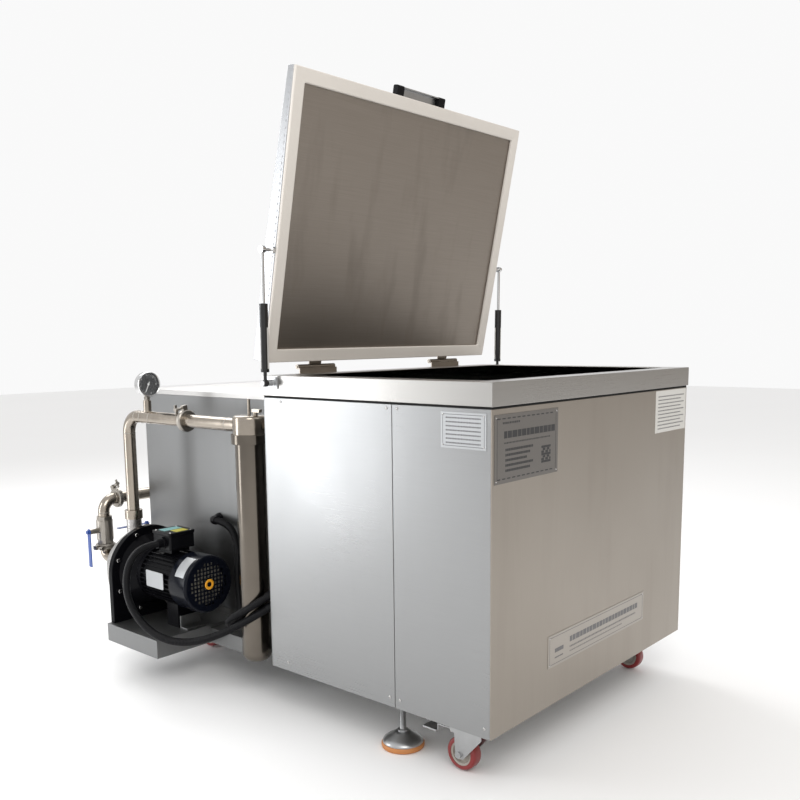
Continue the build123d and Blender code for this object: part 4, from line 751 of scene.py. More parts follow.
# ------------------------------------------------------------------------------------------- studio
@dataclass
class Studio:
    """The camera, the floor and the lights."""

    bench: Bench
    eye: Triple = (-1854.8, -1326.2, 934.8)
    ahead: Triple = (0.74679531, 0.64892906, -0.14556044)
    right: Triple = (0.65472389, -0.75579659, -0.0103987)
    above: Triple = (0.1167621, 0.0875362, 0.98929471)
    lens: float = 40.068
    shift: tuple[float, float] = (-0.003, 0.0854)
    wall: Triple = (0.70, -0.71, 0.0)
    wall_reach: tuple[float, float] = (0.45, 0.85)
    wall_colour: Triple = (0.44, 0.39, 0.34)
    brightness: float = 0.95

    def camera(self) -> None:
        """The camera at the machine's front left corner."""
        data = bpy.data.cameras.new("camera")
        data.lens = self.lens
        data.sensor_width = 36.0
        data.shift_x, data.shift_y = self.shift
        data.clip_end = 60.0
        camera = bpy.data.objects.new("camera", data)
        place = self.bench.at(*self.eye)
        matrix = np.eye(4)
        matrix[:3, 0], matrix[:3, 1], matrix[:3, 2] = self.right, self.above, -np.array(self.ahead)
        matrix[:3, 3] = place
        camera.matrix_world = Matrix(matrix.tolist())
        bpy.context.scene.collection.objects.link(camera)
        bpy.context.scene.camera = camera

    def floor(self) -> None:
        """A wide pale floor."""
        span = np.linspace(-14, 14, 3)
        x, y = np.meshgrid(span, span, indexing="ij")
        surface = grid(np.stack([x, y, np.full_like(x, -0.0005)], -1), wrap=False)
        data = bpy.data.meshes.new("floor")
        data.from_pydata(surface.points.tolist(), [], [tuple(face) for face in surface.faces[0].tolist()])
        floor = bpy.data.objects.new("floor", data)
        graph = Graph("floor_pale")
        haze = graph.noise(0.7, 2.0, 0.5)
        graph.set(Base_Color=graph.blend((0.92, 0.92, 0.92), (0.94, 0.94, 0.94), haze), Roughness=0.85)
        data.materials.append(graph.material)
        bpy.context.scene.collection.objects.link(floor)

    def lamp(self, name: str, place: Triple, target: Triple, size: tuple[float, float], power: float,
             colour: Triple = (1, 1, 1)) -> None:
        """A soft rectangular light.

        Args:
            name: the light's name.
            place: in millimetres about the cabinet's middle.
            target: what it points at.
            size: in metres.
            power: in watts.
            colour: its tint.
        """
        data = bpy.data.lights.new(name, "AREA")
        data.shape = "RECTANGLE"
        data.size, data.size_y = size
        data.energy = power
        data.color = colour
        lamp = bpy.data.objects.new(name, data)
        start, end = self.bench.at(*place), self.bench.at(*target)
        matrix = looking(tuple(start - end))
        matrix[:3, 3] = start
        lamp.matrix_world = Matrix(matrix.tolist())
        bpy.context.scene.collection.objects.link(lamp)

    def build(self) -> None:
        """Makes the camera, the floor, the sky and three soft lights."""
        self.camera()
        self.floor()
        self.sky()
        bpy.context.scene.view_settings.view_transform = "Standard"
        self.lamp("key", (-2600, -2600, 3400), (0, 100, 500), (2.4, 2.4), 70.0, (1.0, 0.98, 0.95))
        self.lamp("left_strip", (-2250, 2150, 900), (-450, 180, 520), (0.7, 2.0), 22.0, (0.96, 0.98, 1.0))
        self.lamp("back_top", (600, 2600, 3000), (0, 500, 600), (2.4, 2.0), 60.0)

    def sky(self) -> None:
        """An even pale sky, warmer and dimmer only towards the machine's front right, like a wall near by."""
        world = bpy.data.worlds.new("studio_sky")
        bpy.context.scene.world = world
        world.use_nodes = True
        sky = NodeTree(world.node_tree)
        direction = sky.node("ShaderNodeTexCoord", output="Generated")
        towards = sky.node("ShaderNodeVectorMath", {"operation": "DOT_PRODUCT"},
                           {0: direction, 1: self.wall}, "Value")
        start, end = self.wall_reach
        reach = sky.node("ShaderNodeMapRange", {"interpolation_type": "SMOOTHSTEP"},
                         {"Value": towards, "From Min": start, "From Max": end}, "Result")
        shade = sky.node("ShaderNodeMix", {"data_type": "RGBA"},
                         {0: reach, 6: (1.0, 1.0, 1.0), 7: self.wall_colour}, 2)
        background = sky.tree.nodes["Background"]
        sky.plug(background.inputs["Color"], shade)
        sky.plug(background.inputs["Strength"], self.brightness)


# ------------------------------------------------------------------------------------------- conduits
@dataclass
class Conduits:
    """Two corrugated conduits, one to the motor and one to the reservoir's sensor."""

    bench: Bench
    radius: float = 10.0
    pitch: float = 4.2
    motor: Sequence[Triple] = (
        (-495, 753, 380), (-542, 753, 380), (-579, 754, 351), (-597, 750, 304), (-602, 738, 254),
        (-600, 706, 212),
        (-595, 660, 182), (-588, 604, 167), (-574, 548, 165), (-551, 495, 175), (-517, 439, 200),
        (-473.289, 386.072, 236.298), (-440.395, 361.637, 259.323))
    sensor: Sequence[Triple] = (
        (-326, 706, 424), (-326, 662, 424), (-326, 626, 398), (-327, 610, 352), (-328, 617, 300),
        (-332, 610, 252),
        (-349, 585, 212), (-378, 548, 190), (-421, 513, 187), (-463, 488, 199), (-489, 452, 224),
        (-482.387, 392.831, 259.929), (-440.395, 361.637, 289.323))

    def line(self, points: Sequence[Triple]) -> np.ndarray:
        """The smooth line of a route: a NURBS spline with the route's points as its control points."""
        data = bpy.data.curves.new("route", "CURVE")
        data.dimensions = "3D"
        data.resolution_u = 24
        spline = data.splines.new("NURBS")
        spline.points.add(len(points) - 1)
        for knot, place in zip(spline.points, points):
            knot.co = (*self.bench.at(*place), 1.0)
        spline.order_u = 3
        spline.use_endpoint_u = True
        holder = bpy.data.objects.new("route", data)
        mesh = bpy.data.meshes.new_from_object(holder)
        found = np.zeros(len(mesh.vertices) * 3)
        mesh.vertices.foreach_get("co", found)
        bpy.data.meshes.remove(mesh)
        bpy.data.objects.remove(holder)
        bpy.data.curves.remove(data)
        return found.reshape(-1, 3)

    def conduit(self, node: str, points: Sequence[Triple], side: Triple) -> None:
        """One conduit: rings whose radius rises and falls with the length run.

        The radius is r(s) = r0 (0.94 + 0.06 w(s)), where w is a cosine over the pitch, raised and cut at 1.
        """
        line = self.line(points)
        run = np.concatenate([[0], np.cumsum(np.linalg.norm(np.diff(line, axis=0), axis=1))])
        stations = np.linspace(0, run[-1], int(run[-1] * 1000 / self.pitch) * 6 + 1)
        path = np.stack([np.interp(stations, run, line[:, axis]) for axis in range(3)], -1)
        wave = np.cos(stations * 2 * np.pi * 1000 / self.pitch)
        radius = self.radius / 1000 * (0.94 + 0.06 * np.clip(wave * 1.8, -1, 1))
        piece = self.bench.put(node + "_hose", tube(path, radius, 20, side), Finish.CONDUIT, "machine", node,
                               60.0, 0.0, (node,))

    def build(self) -> None:
        """Makes both conduits."""
        self.conduit("motor_conduit", self.motor, (1, 1, -1))
        self.conduit("sensor_conduit", self.sensor, (1, 0, 0))


# ------------------------------------------------------------------------------------------- fastener heads
class Head(Enum):
    """Kinds of fastener head, each with its profile of (radius, height) and number of sides."""

    PAN = (((0, 0), (1, 0), (0.96, 0.24), (0.62, 0.42), (0.34, 0.44), (0.28, 0.26), (0, 0.24)), 14)
    DOME = (((0, 0), (1, 0), (0.90, 0.26), (0.5, 0.44), (0, 0.48)), 12)
    HEX = (((0, 0), (1, 0), (1, 0.9), (0.86, 1.0), (0, 1.0)), 6)

    @classmethod
    def of(cls, radius: float, height: float) -> "Head":
        """The kind of head that a plain disc of this size, in millimetres, stands for."""
        thin = 3.0
        if height > thin:
            return cls.HEX
        return cls.PAN if radius > thin else cls.DOME

    def surface(self, radius: float, height: float) -> Surface:
        """The head at its size in millimetres; a hexagon's and a bolt's height is its whole length."""
        profile, sides = self.value
        tall = height if self is Head.HEX else radius
        return revolved([(r * radius, h * tall) for r, h in profile], sides)


# ------------------------------------------------------------------------------------------- cabinet
@dataclass
class Cabinet:
    """Panels, rim, basin, frame, plates and the small fasteners."""

    bench: Bench
    seam_weld: float = 1.6

    def panels(self) -> None:
        """The sheet panels, the rim, the basin and the frame under them."""
        skins = {
            "front_panel": Finish.FRONT, "left_front_panel": Finish.SIDE, "left_rear_panel": Finish.SIDE,
            "right_panel": Finish.SIDE, "rear_panel": Finish.SIDE, "bottom_panel": Finish.FRAME,
            "wash_tank": Finish.BASIN, "rim_band": Finish.RIM, "base_frame": Finish.FRAME,
        }
        for node, finish in skins.items():
            self.bench.skin(node, finish, 0.0009 if node in ("rim_band", "base_frame") else 0.0006)
        self.bench.skin("transducers", Finish.CAST, 0.001)
        self.bench.skin("heater_pads", Finish.SILICONE, 0.0015)

    def fasteners(self) -> None:
        """Real heads in place of the plain ones: panel screws, rivets, hex bolts and lock nuts."""
        merged = self.bench.frame["nodes"]["fasteners"].data.copy()
        shape = bmesh.new()
        shape.from_mesh(merged)
        bmesh.ops.remove_doubles(shape, verts=shape.verts, dist=1e-6)
        shape.to_mesh(merged)
        shape.free()
        heads = []
        for island in islands(merged):
            low, high = self.bench.span(merged, island)
            size, centre = high - low, (low + high) / 2
            axis = int(size.argmin())
            sign = (math.copysign(1, centre[0]), -1, -1)[axis]
            radius = (size.sum() - size[axis]) / 4
            towards = [0.0, 0.0, 0.0]
            towards[axis] = sign
            base = centre.copy()
            base[axis] = low[axis] if sign > 0 else high[axis]
            kind = Head.of(radius, float(size[axis]))
            seat = self.bench.seat(tuple(base), tuple(towards))
            heads.append(kind.surface(radius, float(size[axis])).moved(seat))
        bpy.data.meshes.remove(merged)
        self.bench.put("fastener_heads", joined(heads), Finish.SCREW, "machine", "fasteners", 30.0, 0.0,
                       ("fasteners",))

    def weld(self) -> None:
        """Ground weld beads down the rim's four corners and along the basin's upright corners.

        Each bead is a thin tube whose radius ripples along its length.
        """
        beads = []
        lines = [(sx * 452.4, sy * 337.4, 801.0, 847.0) for sx in (-1, 1) for sy in (-1, 1)]
        lines += [(sx * 404.4, y, 450.0, 845.0) for sx in (-1, 1) for y in (-289.4, 272.4)]
        for x, y, z0, z1 in lines:
            steps = np.linspace(0, 1, int((z1 - z0) / 1.5) + 2)
            path = self.bench.at(x, y, z0) + steps[:, None] * np.array([0, 0, (z1 - z0) / 1000])
            ripple = 1 + 0.10 * np.sin(steps * (z1 - z0) * 2.1)
            beads.append(tube(path, self.seam_weld / 2000 * ripple, 10, (1, 0, 0)))
        self.bench.put("corner_welds", joined(beads), Finish.RIM, "machine", "rim_band", 60.0)

    def paint_gap_shadow(self) -> None:
        """A near-black strip in the gap under the rim, all round and just behind the panels' faces: painted
        shadow of the gap.

        It is a rounded square section carried round the cabinet's rectangle.
        """
        half = np.array([449.3, 334.3])
        corner = np.array([[-1, -1], [1, -1], [1, 1], [-1, 1], [-1, -1]]) * half
        rings = []
        for inset, z in ((0, 795.1), (0, 799.9), (-0.6, 799.9), (-0.6, 795.1), (0, 795.1)):
            flat = corner + np.sign(corner) * inset
            rings.append(np.column_stack([flat, np.full(5, z)]))
        bead = grid(np.array(rings) / 1000 + self.bench.middle, wrap=False)
        # The strip paints the gap's shadow.
        self.bench.put("rim_gap_sealant", bead, Finish.SHADOW, "machine", "rim_band", 30.0)

    def plates(self) -> None:
        """The four plates and their marks: frames, dashes and rows of plain bars, with no lettering."""
        bench = self.bench
        bench.skin("identification_plates", Finish.PLATE, 0.0003, name="info_plate",
                   keep=lambda low, high: high[2] - low[2] > 120)
        bench.skin("identification_plates", Finish.WARM_PLATE, 0.0003, name="name_plate",
                   keep=lambda low, high: high[0] - low[0] > 400, first=False)
        bench.skin("identification_plates", Finish.PALE_PLATE, 0.0003, name="data_plate",
                   keep=lambda low, high: high[1] - low[1] > 50, first=False)
        bench.skin("identification_plates", Finish.PAPER, 0.0, name="notice_label",
                   keep=lambda low, high: low[0] > 200, first=False)
        front = -336.0
        info = Marks(bench, front, -442, -207, 646, 784)
        info.frame(9, 4, 11.0)
        info.rows([(0.12, 0.13, 0.36, 4), (0.14, 0.30, 0.92, 14), (0.14, 0.42, 0.86, 3)], 2.2)
        info.rows([(0.16, 0.52 + 0.075 * k, 0.58 - 0.05 * (k % 3), 5) for k in range(5)], 1.0)
        info.dots(0.80, 0.68, 7, 5.2)
        info.put("info_plate_print", Finish.INK)
        name = Marks(bench, front, -234, 226, 208, 282)
        name.frame(6, 0, 0)
        name.rows([(0.20, 0.38, 0.90, 13), (0.20, 0.62, 0.90, 4), (0.20, 0.76, 0.74, 3)], 2.4)
        name.rows([(0.06, 0.52, 0.13, 9), (0.06, 0.74, 0.13, 3)], 0.6)
        name.put("name_plate_print", Finish.GREY_INK)
        label = Marks(bench, -335.5, 265, 445, 686, 793)
        label.rows([(0.08, 0.14 + 0.085 * k, 0.92 - 0.09 * (k % 2), 3) for k in range(10)], 1.4)
        label.put("notice_print", Finish.GREY_INK)
        data = Marks(bench, -451.0, -323, -210, 714, 787, left=True)
        data.frame(5, 0, 0)
        data.rows([(0.12, 0.16 + 0.115 * k, 0.88, 3) for k in range(7)], 0.8)
        data.put("data_plate_print", Finish.GREY_INK)

    def build(self) -> None:
        """Makes the cabinet."""
        self.panels()
        self.fasteners()
        self.weld()
        self.paint_gap_shadow()
        self.plates()


@dataclass
class Marks:
    """Printed marks on one plate, as thin raised rectangles, in shares of the plate's width and height."""

    bench: Bench
    face: float
    a0: float
    a1: float
    z0: float
    z1: float
    left: bool = False
    cells: list[tuple[float, float, float, float]] = field(default_factory=list)

    def cell(self, a0: float, a1: float, z0: float, z1: float) -> None:
        """Adds a rectangle in millimetres."""
        self.cells.append((a0, a1, z0, z1))

    def frame(self, inset: float, count: int, dash: float) -> None:
        """A thin frame inside the edge, whole or with dashes along top and bottom.

        Args:
            inset: from the plate's edge.
            count: if above 0, dashes are drawn instead of lines at top and bottom.
            dash: length of each dash.
        """
        a0, a1, z0, z1 = self.a0 + inset, self.a1 - inset, self.z0 + inset, self.z1 - inset
        for z in (z0, z1):
            if count:
                for start in np.arange(a0, a1 - dash, dash * 1.6):
                    self.cell(start, start + dash, z - 1.2, z + 1.2)
            else:
                self.cell(a0, a1, z - 0.6, z + 0.6)
        for a in (a0, a1):
            self.cell(a - 0.5, a + 0.5, z0, z1)

    def rows(self, lines: Sequence[tuple[float, float, float, float]], gap: float) -> None:
        """Rows of short bars that stand in for writing.

        Args:
            lines: each (start, down, end, height in millimetres), the first three as shares of the plate.
            gap: space between bars, in millimetres.
        """
        wide, tall = self.a1 - self.a0, self.z1 - self.z0
        for start, down, end, height in lines:
            at, z = self.a0 + start * wide, self.z1 - down * tall
            step = 0
            while at < self.a0 + end * wide:
                length = height * (0.75 + 0.5 * ((step * 7) % 5) / 4)
                self.cell(at, at + length, z - height / 2, z + height / 2)
                at += length + gap
                step += 1

    def dots(self, across: float, down: float, count: int, pitch: float) -> None:
        """A plain chequer of squares in a frame."""
        centre_a = self.a0 + across * (self.a1 - self.a0)
        centre_z = self.z1 - down * (self.z1 - self.z0)
        half = count * pitch / 2
        for i in range(count):
            for j in range(count):
                if (i * 3 + j * 5 + i * j) % 3 != 1:
                    a, z = centre_a - half + i * pitch, centre_z - half + j * pitch
                    self.cell(a, a + pitch * 0.92, z, z + pitch * 0.92)

    def put(self, name: str, finish: Finish) -> None:
        """Makes all the rectangles one piece: a thin box is repeated, with its own scale for each cell."""
        cells = np.array(self.cells)
        centre = np.stack([(cells[:, 0] + cells[:, 1]) / 2, (cells[:, 2] + cells[:, 3]) / 2], -1)
        size = np.stack([cells[:, 1] - cells[:, 0], cells[:, 3] - cells[:, 2]], -1)
        box = np.array([[-.5, -.5, 0], [.5, -.5, 0], [.5, .5, 0], [-.5, .5, 0],
                        [-.5, -.5, 1], [.5, -.5, 1], [.5, .5, 1], [-.5, .5, 1]])
        faces = np.array([[3, 2, 1, 0], [4, 5, 6, 7], [0, 1, 5, 4], [1, 2, 6, 5], [2, 3, 7, 6], [3, 0, 4, 7]])
        flat = box[None, :, :2] * size[:, None, :] + centre[:, None, :]
        rise = np.broadcast_to(box[None, :, 2] * 0.15, flat.shape[:2]) + 0.0
        if self.left:
            points = np.stack([self.face - rise, flat[..., 0], flat[..., 1]], -1)
        else:
            points = np.stack([flat[..., 0], self.face - rise, flat[..., 1]], -1)
        points = points.reshape(-1, 3) / 1000 + self.bench.middle
        steps = (np.arange(len(cells)) * 8)[:, None, None]
        self.bench.put(name, Surface(points, [(faces[None] + steps).reshape(-1, 4)]), finish, "machine",
                       "identification_plates", 30.0)


# ------------------------------------------------------------------------------------------- lid
@dataclass
class Lid:
    """The insulated lid: shell, liner, seal, spot welds and handle, with the hinges and the gas struts."""

    bench: Bench
    half_width: float = 442.0
    front: float = -335.0
    rear: float = 333.0
    under: float = 858.0
    weld_pitch: float = 15.0
    strut_x: float = 475.0
    strut_foot: Triple = (0.0, 298.0, 831.0)
    strut_top: Triple = (0.0, 293.82, 1139.0)
    label_start: float = 34.0
    label_length: float = 96.0
    label_radius: float = 10.08

    def welds(self) -> None:
        """A dashed line of small spot welds along both of the lid's sides, just above the seal.

        Each weld is a low dome stretched along the edge.
        """
        dome = revolved([(0, -0.2), (1.6, -0.2), (1.1, 0.5), (0, 0.6)], 8)
        rows = []
        for side in (-1, 1):
            y = np.arange(self.front + 14, self.rear - 8, self.weld_pitch)
            template = dome.moved(looking((side, 0, 0)))
            template.points[:, 1] *= 2.4
            offsets = np.stack([np.full_like(y, side * self.half_width), y,
                                np.full_like(y, self.under + 7)], -1)
            rows.append(template.repeated(offsets / 1000 + self.bench.middle))
        welds = joined(rows).moved(self.bench.swing())
        self.bench.put("lid_spot_welds", welds, Finish.LID, "lid", "lid_shell", 50.0)

    def shell(self) -> None:
        """Shell, liner, seal and the wool between them."""
        self.bench.skin("lid_shell", Finish.LID, 0.0012)
        self.bench.skin("lid_liner", Finish.LINER, 0.0004)
        self.bench.skin("lid_seal", Finish.SEAL, 0.0024)
        self.bench.skin("lid_insulation", Finish.WOOL, 0.002)

    def handle(self) -> None:
        """Black end caps and a ribbed bright grip between them."""
        self.bench.skin("lid_handle", Finish.BLACK_PLASTIC, 0.0012, name="handle_caps",
                        keep=lambda low, high: high[0] - low[0] < 40)
        self.bench.skin("lid_handle", Finish.ZINC, 0.0008, name="handle_grip",
                        keep=lambda low, high: high[0] - low[0] > 40, first=False)
        low = np.array([-67.0, self.front - 23.5, self.under + 9.5 + 7.5])
        rib = revolved([(0, 0), (1.1, 0), (1.1, 134), (0, 134)], 10).moved(looking((1, 0, 0)))
        offsets = np.array([[low[0], low[1] + 3.0 + 3.4 * k, low[2]] for k in range(6)])
        surface = rib.repeated(offsets / 1000 + self.bench.middle)
        self.bench.put("handle_ribs", surface.moved(self.bench.swing()), Finish.ZINC, "lid", "lid_handle",
                       60.0)

    def hinges(self) -> None:
        """Both hinges' leaves and pins."""
        self.bench.skin("hinge_frame_leaves", Finish.HINGE, 0.0006)
        self.bench.skin("hinge_lid_leaves", Finish.HINGE, 0.0006)

    def struts(self) -> None:
        """Brackets, cylinders with their paper bands, and rods."""
        bench = self.bench
        bench.skin("strut_brackets", Finish.ZINC, 0.0008)
        bench.skin("strut_cylinders", Finish.GLOSS_BLACK, 0.0006)
        bench.skin("strut_rods", Finish.CHROME, 0.0004)
        foot, top = np.array(self.strut_foot), np.array(self.strut_top)
        along = (top - foot) / np.linalg.norm(top - foot)
        turn = np.linspace(0, 1.45 * np.pi, 30)
        circle = np.stack([np.cos(turn), np.sin(turn)], -1) * self.label_radius
        points = np.stack([np.column_stack([circle, np.full(30, rise)]) for rise in (0.0, self.label_length)])
        points = points / 1000
        outer = points * np.array([1.008, 1.008, 1.0])
        band = grid(np.concatenate([points[:1], outer[:1], outer[1:], points[1:], points[:1]]), wrap=False)
        seats = [bench.seat(tuple(foot + (x, 0, 0) + along * self.label_start), tuple(along), (1, 0, 0))
                 for x in (-self.strut_x, self.strut_x)]
        bench.put("strut_labels", joined([band.moved(seat) for seat in seats]), Finish.PAPER,
                  "strut_cylinders", "strut_cylinders", 40.0)

    def build(self) -> None:
        """Makes the lid and what carries it."""
        self.shell()
        self.welds()
        self.handle()
        self.hinges()
        self.struts()


# ------------------------------------------------------------------------------------------- running gear
@dataclass
class RunningGear:
    """Casters with their wheels and brake pedals, and the levelling feet."""

    bench: Bench
    wheel_radius: float = 37.5
    wheel_width: float = 28.0

    def wheel(self, node: str) -> None:
        """A moulded tread, a core with a recess on each side, and a bearing hub, turned about the axle."""
        low, high = self.bench.box(node)
        centre = (low + high) / 2
        seat = self.bench.seat(tuple(centre), (1, 0, 0))
        half, outer = self.wheel_width / 2, self.wheel_radius
        shoulder = [(27.0, half), (outer - 4.6, half), (outer - 2.0, half - 1.0), (outer - 0.5, half - 3.4),
                    (outer, half - 8)]
        tread = revolved(mirrored(shoulder), 72).moved(seat)
        recess = [(4.4, half - 1), (11, half - 1), (12, half - 6), (20, half - 7.5), (22.5, half - 2),
                  (26.9, half - 1)]
        core = revolved(mirrored(recess), 56).moved(seat)
        hub = revolved([(4.4, -16.4), (8, -16.4), (8, -13.0), (4.4, -13.0), (4.4, -16.4)], 32)
        hub = hub + revolved([(4.4, 16.4), (8, 16.4), (8, 13.0), (4.4, 13.0), (4.4, 16.4)], 32)
        body = self.bench.bodies[node]
        self.bench.put(node.replace("caster_wheel", "tread"), tread, Finish.TREAD, body, node, 40.0, 0.0,
                       (node,))
        self.bench.put(node.replace("caster_wheel", "core"), core, Finish.CORE, body, node, 35.0)
        self.bench.put(node.replace("caster_wheel", "hub"), hub.moved(seat), Finish.ZINC, body, node, 35.0)

    def foot(self, node: str) -> None:
        """A rubber pad, a plated bell with a ball collar, and a threaded stem, turned about the stem."""
        low, high = self.bench.box(node)
        centre = (low + high) / 2
        seat = self.bench.seat((centre[0], centre[1], 0))
        pad = revolved([(0, 0.6), (30, 0.6), (31, 0), (46, 0), (49, 1.4), (50, 4), (50, 9), (48.6, 12),
                        (46, 13), (0, 13)], 72)
        bell = revolved([(0, 12.8), (47.5, 12.8), (47.5, 15.0), (45, 18.5), (38, 23.5), (29.5, 28.5),
                         (21.5, 33.5), (17, 37), (12.5, 37.2), (12.5, 41), (10, 42.5), (0, 42.5)], 72)
        rise = np.arange(40.0, high[2], 0.5)
        crests = [(7.6 + 0.4 * math.cos(z * math.pi), z) for z in rise]
        thread = [(0.0, 40.0), *crests, (6.6, high[2]), (0.0, high[2])]
        body = self.bench.bodies[node]
        self.bench.put(node + "_pad", pad.moved(seat), Finish.ORANGE, body, node, 40.0, 0.0, (node,))
        self.bench.put(node + "_bell", bell.moved(seat), Finish.ZINC, body, node, 40.0)
        self.bench.put(node + "_stem", revolved(thread, 28).moved(seat), Finish.ZINC, body, node, 30.0)

    def build(self) -> None:
        """Makes the casters and feet."""
        for node in ("caster_plates", "caster_fork_left", "caster_fork_right", "rear_caster_forks",
                     "brake_pedal_left", "brake_pedal_right"):
            self.bench.skin(node, Finish.ZINC, 0.0008)
        for place in ("front_left", "front_right", "rear_left", "rear_right"):
            self.wheel("caster_wheel_" + place)
            self.foot("levelling_foot_" + place)


# --------------------------------------------------------------------------------------- reservoir and pump
@dataclass
class RearUnit:
    """The reservoir, its cover, the plinth and the pump with its motor."""

    bench: Bench
    shaft_x: float = -430.0
    shaft_z: float = 277.0
    fan_face: float = 611.0
    box_top: float = 408.0

    def reservoir(self) -> None:
        """Tank, cover and plinth."""
        self.bench.skin("reservoir_tank", Finish.RESERVOIR, 0.0010)
        self.bench.skin("reservoir_lid", Finish.COVER, 0.0012)
        self.bench.skin("pump_plinth", Finish.RESERVOIR, 0.0009)

    def pump(self) -> None:
        """Casing, lantern, mounting bracket and rotor."""
        self.bench.skin("pump_volute", Finish.CASING, 0.0008)
        self.bench.skin("pump_lantern", Finish.BLACK, 0.0006)
        self.bench.skin("pump_bracket", Finish.BLACK, 0.0014)
        self.bench.skin("pump_rotor", Finish.FAN, 0.0005)

    def motor(self) -> None:
        """Finned housing, fan cover with its orange ring and a silver patch of painted highlight, terminal box
        and side plate.
        """
        bench = self.bench
        bench.skin("motor_housing", Finish.BLACK, 0.0005)
        bench.skin("fan_cover", Finish.NAVY, 0.0005)
        bench.skin("terminal_box", Finish.BLACK_PLASTIC, 0.0012)
        ring = revolved([(7.5, 0), (14, 0), (14.5, 1.2), (13, 2.4), (8.5, 2.4), (7.0, 1.2), (7.5, 0)], 48)
        hub = bench.seat((self.shaft_x, self.fan_face - 0.2, self.shaft_z), (0, -1, 0))
        bench.put("fan_hub_ring", ring.moved(hub), Finish.HUB_ORANGE, "machine", "fan_cover", 40.0)
        boss = revolved([(0, 0), (6.6, 0), (6.0, 1.4), (3.0, 2.0), (0, 2.0)], 32)
        bench.put("fan_hub_boss", boss.moved(hub), Finish.NAVY, "machine", "fan_cover", 40.0)
        # A thin silver band on the upper left of the cover's round side: painted highlight where the glossy
        # cover catches the light.
        turn = np.radians(np.linspace(112, 158, 26))
        inner, outer, near, far = 79.05, 79.45, 624.0, 662.0
        shell = []
        for radius, y in ((inner, near), (outer, near), (outer, far), (inner, far), (inner, near)):
            shell.append(np.stack([self.shaft_x + radius * np.cos(turn), np.full_like(turn, y),
                                   self.shaft_z + radius * np.sin(turn)], -1))
        sticker = grid(np.array(shell) / 1000 + bench.middle, wrap=False)
        bench.put("fan_cover_sticker", sticker, Finish.PALE_PLATE, "machine", "fan_cover", 40.0)
        plate = slab(80, 46, 1.6, 3.0).moved(bench.seat((-506.4, 752, 282), (-1, 0, 0)))
        bench.put("motor_side_plate", plate, Finish.PALE_PLATE, "machine", "motor_housing", 30.0)
        top = slab(58, 30, 0.6, 2.0).moved(bench.seat((self.shaft_x, 780, self.box_top)))
        bench.put("terminal_sticker_blue", top, Finish.SKY, "machine", "terminal_box", 30.0)
        top = slab(40, 30, 0.6, 2.0).moved(bench.seat((-424, 746, self.box_top)))
        bench.put("terminal_sticker_yellow", top, Finish.YELLOW, "machine", "terminal_box", 30.0)
        heads = [(x, y) for x in (-464, -396) for y in (731, 799)]
        places = np.array([bench.at(x, y, self.box_top) for x, y in heads])
        screws = Head.PAN.surface(3.2, 1).repeated(places)
        bench.put("terminal_screws", screws, Finish.SCREW, "machine", "fasteners", 30.0)

    def build(self) -> None:
        """Makes the rear unit."""
        self.reservoir()
        self.pump()
        self.motor()


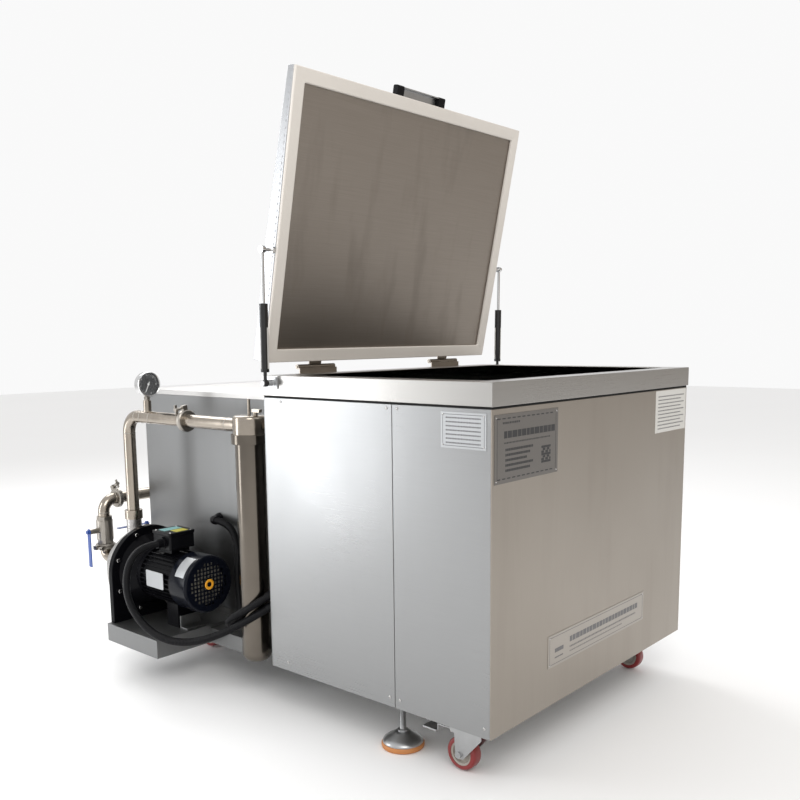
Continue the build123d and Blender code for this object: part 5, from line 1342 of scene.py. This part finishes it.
# ------------------------------------------------------------------------------------------- pipes and filter
@dataclass
class Pipes:
    """Pipework, clamps, valves, the pressure gauge and the canister filter."""

    bench: Bench
    pipe_radius: float = 17.5
    gauge: Triple = (-430.0, 845.0, 812.0)
    gauge_radius: float = 35.0
    gauge_depth: float = 28.0
    gauge_sweep: float = 290.0

    def weld_rings(self) -> None:
        """Narrow rippled beads where elbows meet straight pipe: small closed rings round the pipe's axis."""
        places = [((-430, 962, 668), (0, 0, 1)), ((-430, 911, 719), (0, 1, 0)), ((-430, 500, 719), (0, 1, 0)),
                  ((-430, 884, 719), (0, 1, 0)), ((-430, 840, 719), (0, 1, 0)),
                  ((-392, 1127, 452), (1, 0, 0)),
                  ((-430, 1127, 413), (0, 0, 1)), ((-270, 1127, 452), (1, 0, 0))]
        turn = np.linspace(0, 2 * np.pi, 12, endpoint=False)
        profile = [(self.pipe_radius - 0.4 + 1.0 * math.cos(t), 1.6 * math.sin(t)) for t in turn]
        ring = revolved(profile + profile[:1], 48)
        beads = [ring.moved(self.bench.seat(place, axis)) for place, axis in places]
        self.bench.put("pipe_weld_beads", joined(beads), Finish.CAST, "machine", "pipework", 60.0)

    def runs(self) -> None:
        """Pipes, clamps, valve bodies and levers."""
        self.bench.skin("pipework", Finish.PIPE, 0.0, 36.0)
        self.bench.skin("pipe_clamps", Finish.CAST, 0.0008)
        self.bench.skin("valve_bodies", Finish.CAST, 0.0008)
        self.bench.skin("suction_valve_lever", Finish.BLUE, 0.0010)
        self.bench.skin("drain_valve_lever", Finish.BLUE, 0.0010)
        self.weld_rings()

    def dial(self) -> None:
        """The gauge: a turned case with a rolled bezel, a black dial with ticks, a needle and a clear lens."""
        bench, radius = self.bench, self.gauge_radius
        back = self.gauge_depth
        seat = bench.seat(self.gauge, (0, 1, 0))
        case = revolved([(0, 8.2), (radius - 3.2, 8.2), (radius - 3.2, 1.0), (radius - 2.0, 0.2),
                         (radius - 0.8, 0.4), (radius, 1.8), (radius, 5.0), (radius - 1.2, 6.2),
                         (radius - 1.2, back - 5), (radius - 2.4, back - 2), (radius - 6, back),
                         (0, back)], 72)
        bench.put("gauge_case", case.moved(seat), Finish.CHROME, "machine", "pressure_gauge", 35.0, 0.0,
                  ("pressure_gauge",))
        stem = revolved([(0, 0), (6, 0), (6, 8), (9.5, 8), (9.5, 16), (6, 16), (6, 21), (0, 21)], 6)
        bench.put("gauge_stem", stem.moved(bench.seat((-430, 862, 761), (0, 0, 1))), Finish.CAST, "machine",
                  "pressure_gauge", 30.0)
        face = slab(2 * radius - 6.8, 2 * radius - 6.8, 0.3, radius - 3.4, 20)
        front = bench.seat((self.gauge[0], self.gauge[1] + 8.1, self.gauge[2]), (0, -1, 0))
        bench.put("gauge_dial", face.moved(front), Finish.DIAL, "machine", "pressure_gauge", 30.0)
        ticks = []
        for step in range(31):
            angle = math.radians(step * self.gauge_sweep / 30)
            wide, long = (0.9, 5.5) if step % 5 == 0 else (0.5, 3.0)
            tick = slab(wide, long, 0.12, 0.0, 1)
            spot = np.array([math.cos(angle), math.sin(angle)]) * (radius - 6.5 - long / 2)
            turned = np.eye(4)
            turned[:2, :2] = [[math.sin(angle), math.cos(angle)], [-math.cos(angle), math.sin(angle)]]
            turned[:3, 3] = np.array([spot[0], spot[1], 0.3]) / 1000
            ticks.append(tick.moved(turned).moved(front))
        bench.put("gauge_ticks", joined(ticks), Finish.PALE_INK, "machine", "pressure_gauge", 30.0)
        badge = slab(9, 7, 0.15, 1.0)
        badge.points[:, 1] += 0.009
        bench.put("gauge_badge", badge.moved(front), Finish.YELLOW, "machine", "pressure_gauge", 30.0)
        lens = revolved([(0, 1.2), (radius - 3.4, 1.2), (radius - 3.4, 2.6), (0, 2.6)], 64)
        bench.put("gauge_lens", lens.moved(seat), Finish.LENS, "machine", "pressure_gauge", 30.0)
        bench.skin("gauge_needle", Finish.NEEDLE, 0.0002)

    def filter(self) -> None:
        """The canister, its head and the cartridge in it."""
        self.bench.skin("filter_bowl", Finish.CANISTER, 0.0006, 30.0)
        self.bench.skin("filter_head", Finish.PIPE, 0.0008, 30.0)
        self.bench.skin("filter_cartridge", Finish.MEDIA, 0.001)

    def build(self) -> None:
        """Makes the pipework and the filter."""
        self.runs()
        self.dial()
        self.filter()
        self.bench.skin("cable_glands", Finish.BLACK_PLASTIC, 0.0008)


def main() -> None:
    """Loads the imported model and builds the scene."""
    logging.basicConfig(level=logging.INFO, format="%(name)s %(message)s")
    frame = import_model()
    bench = Bench(frame)
    Studio(bench).build()
    Conduits(bench).build()
    for part in (Cabinet(bench), Lid(bench), RunningGear(bench), RearUnit(bench), Pipes(bench)):
        part.build()
    bpy.context.view_layer.update()


if __name__ == "__main__":
    main()
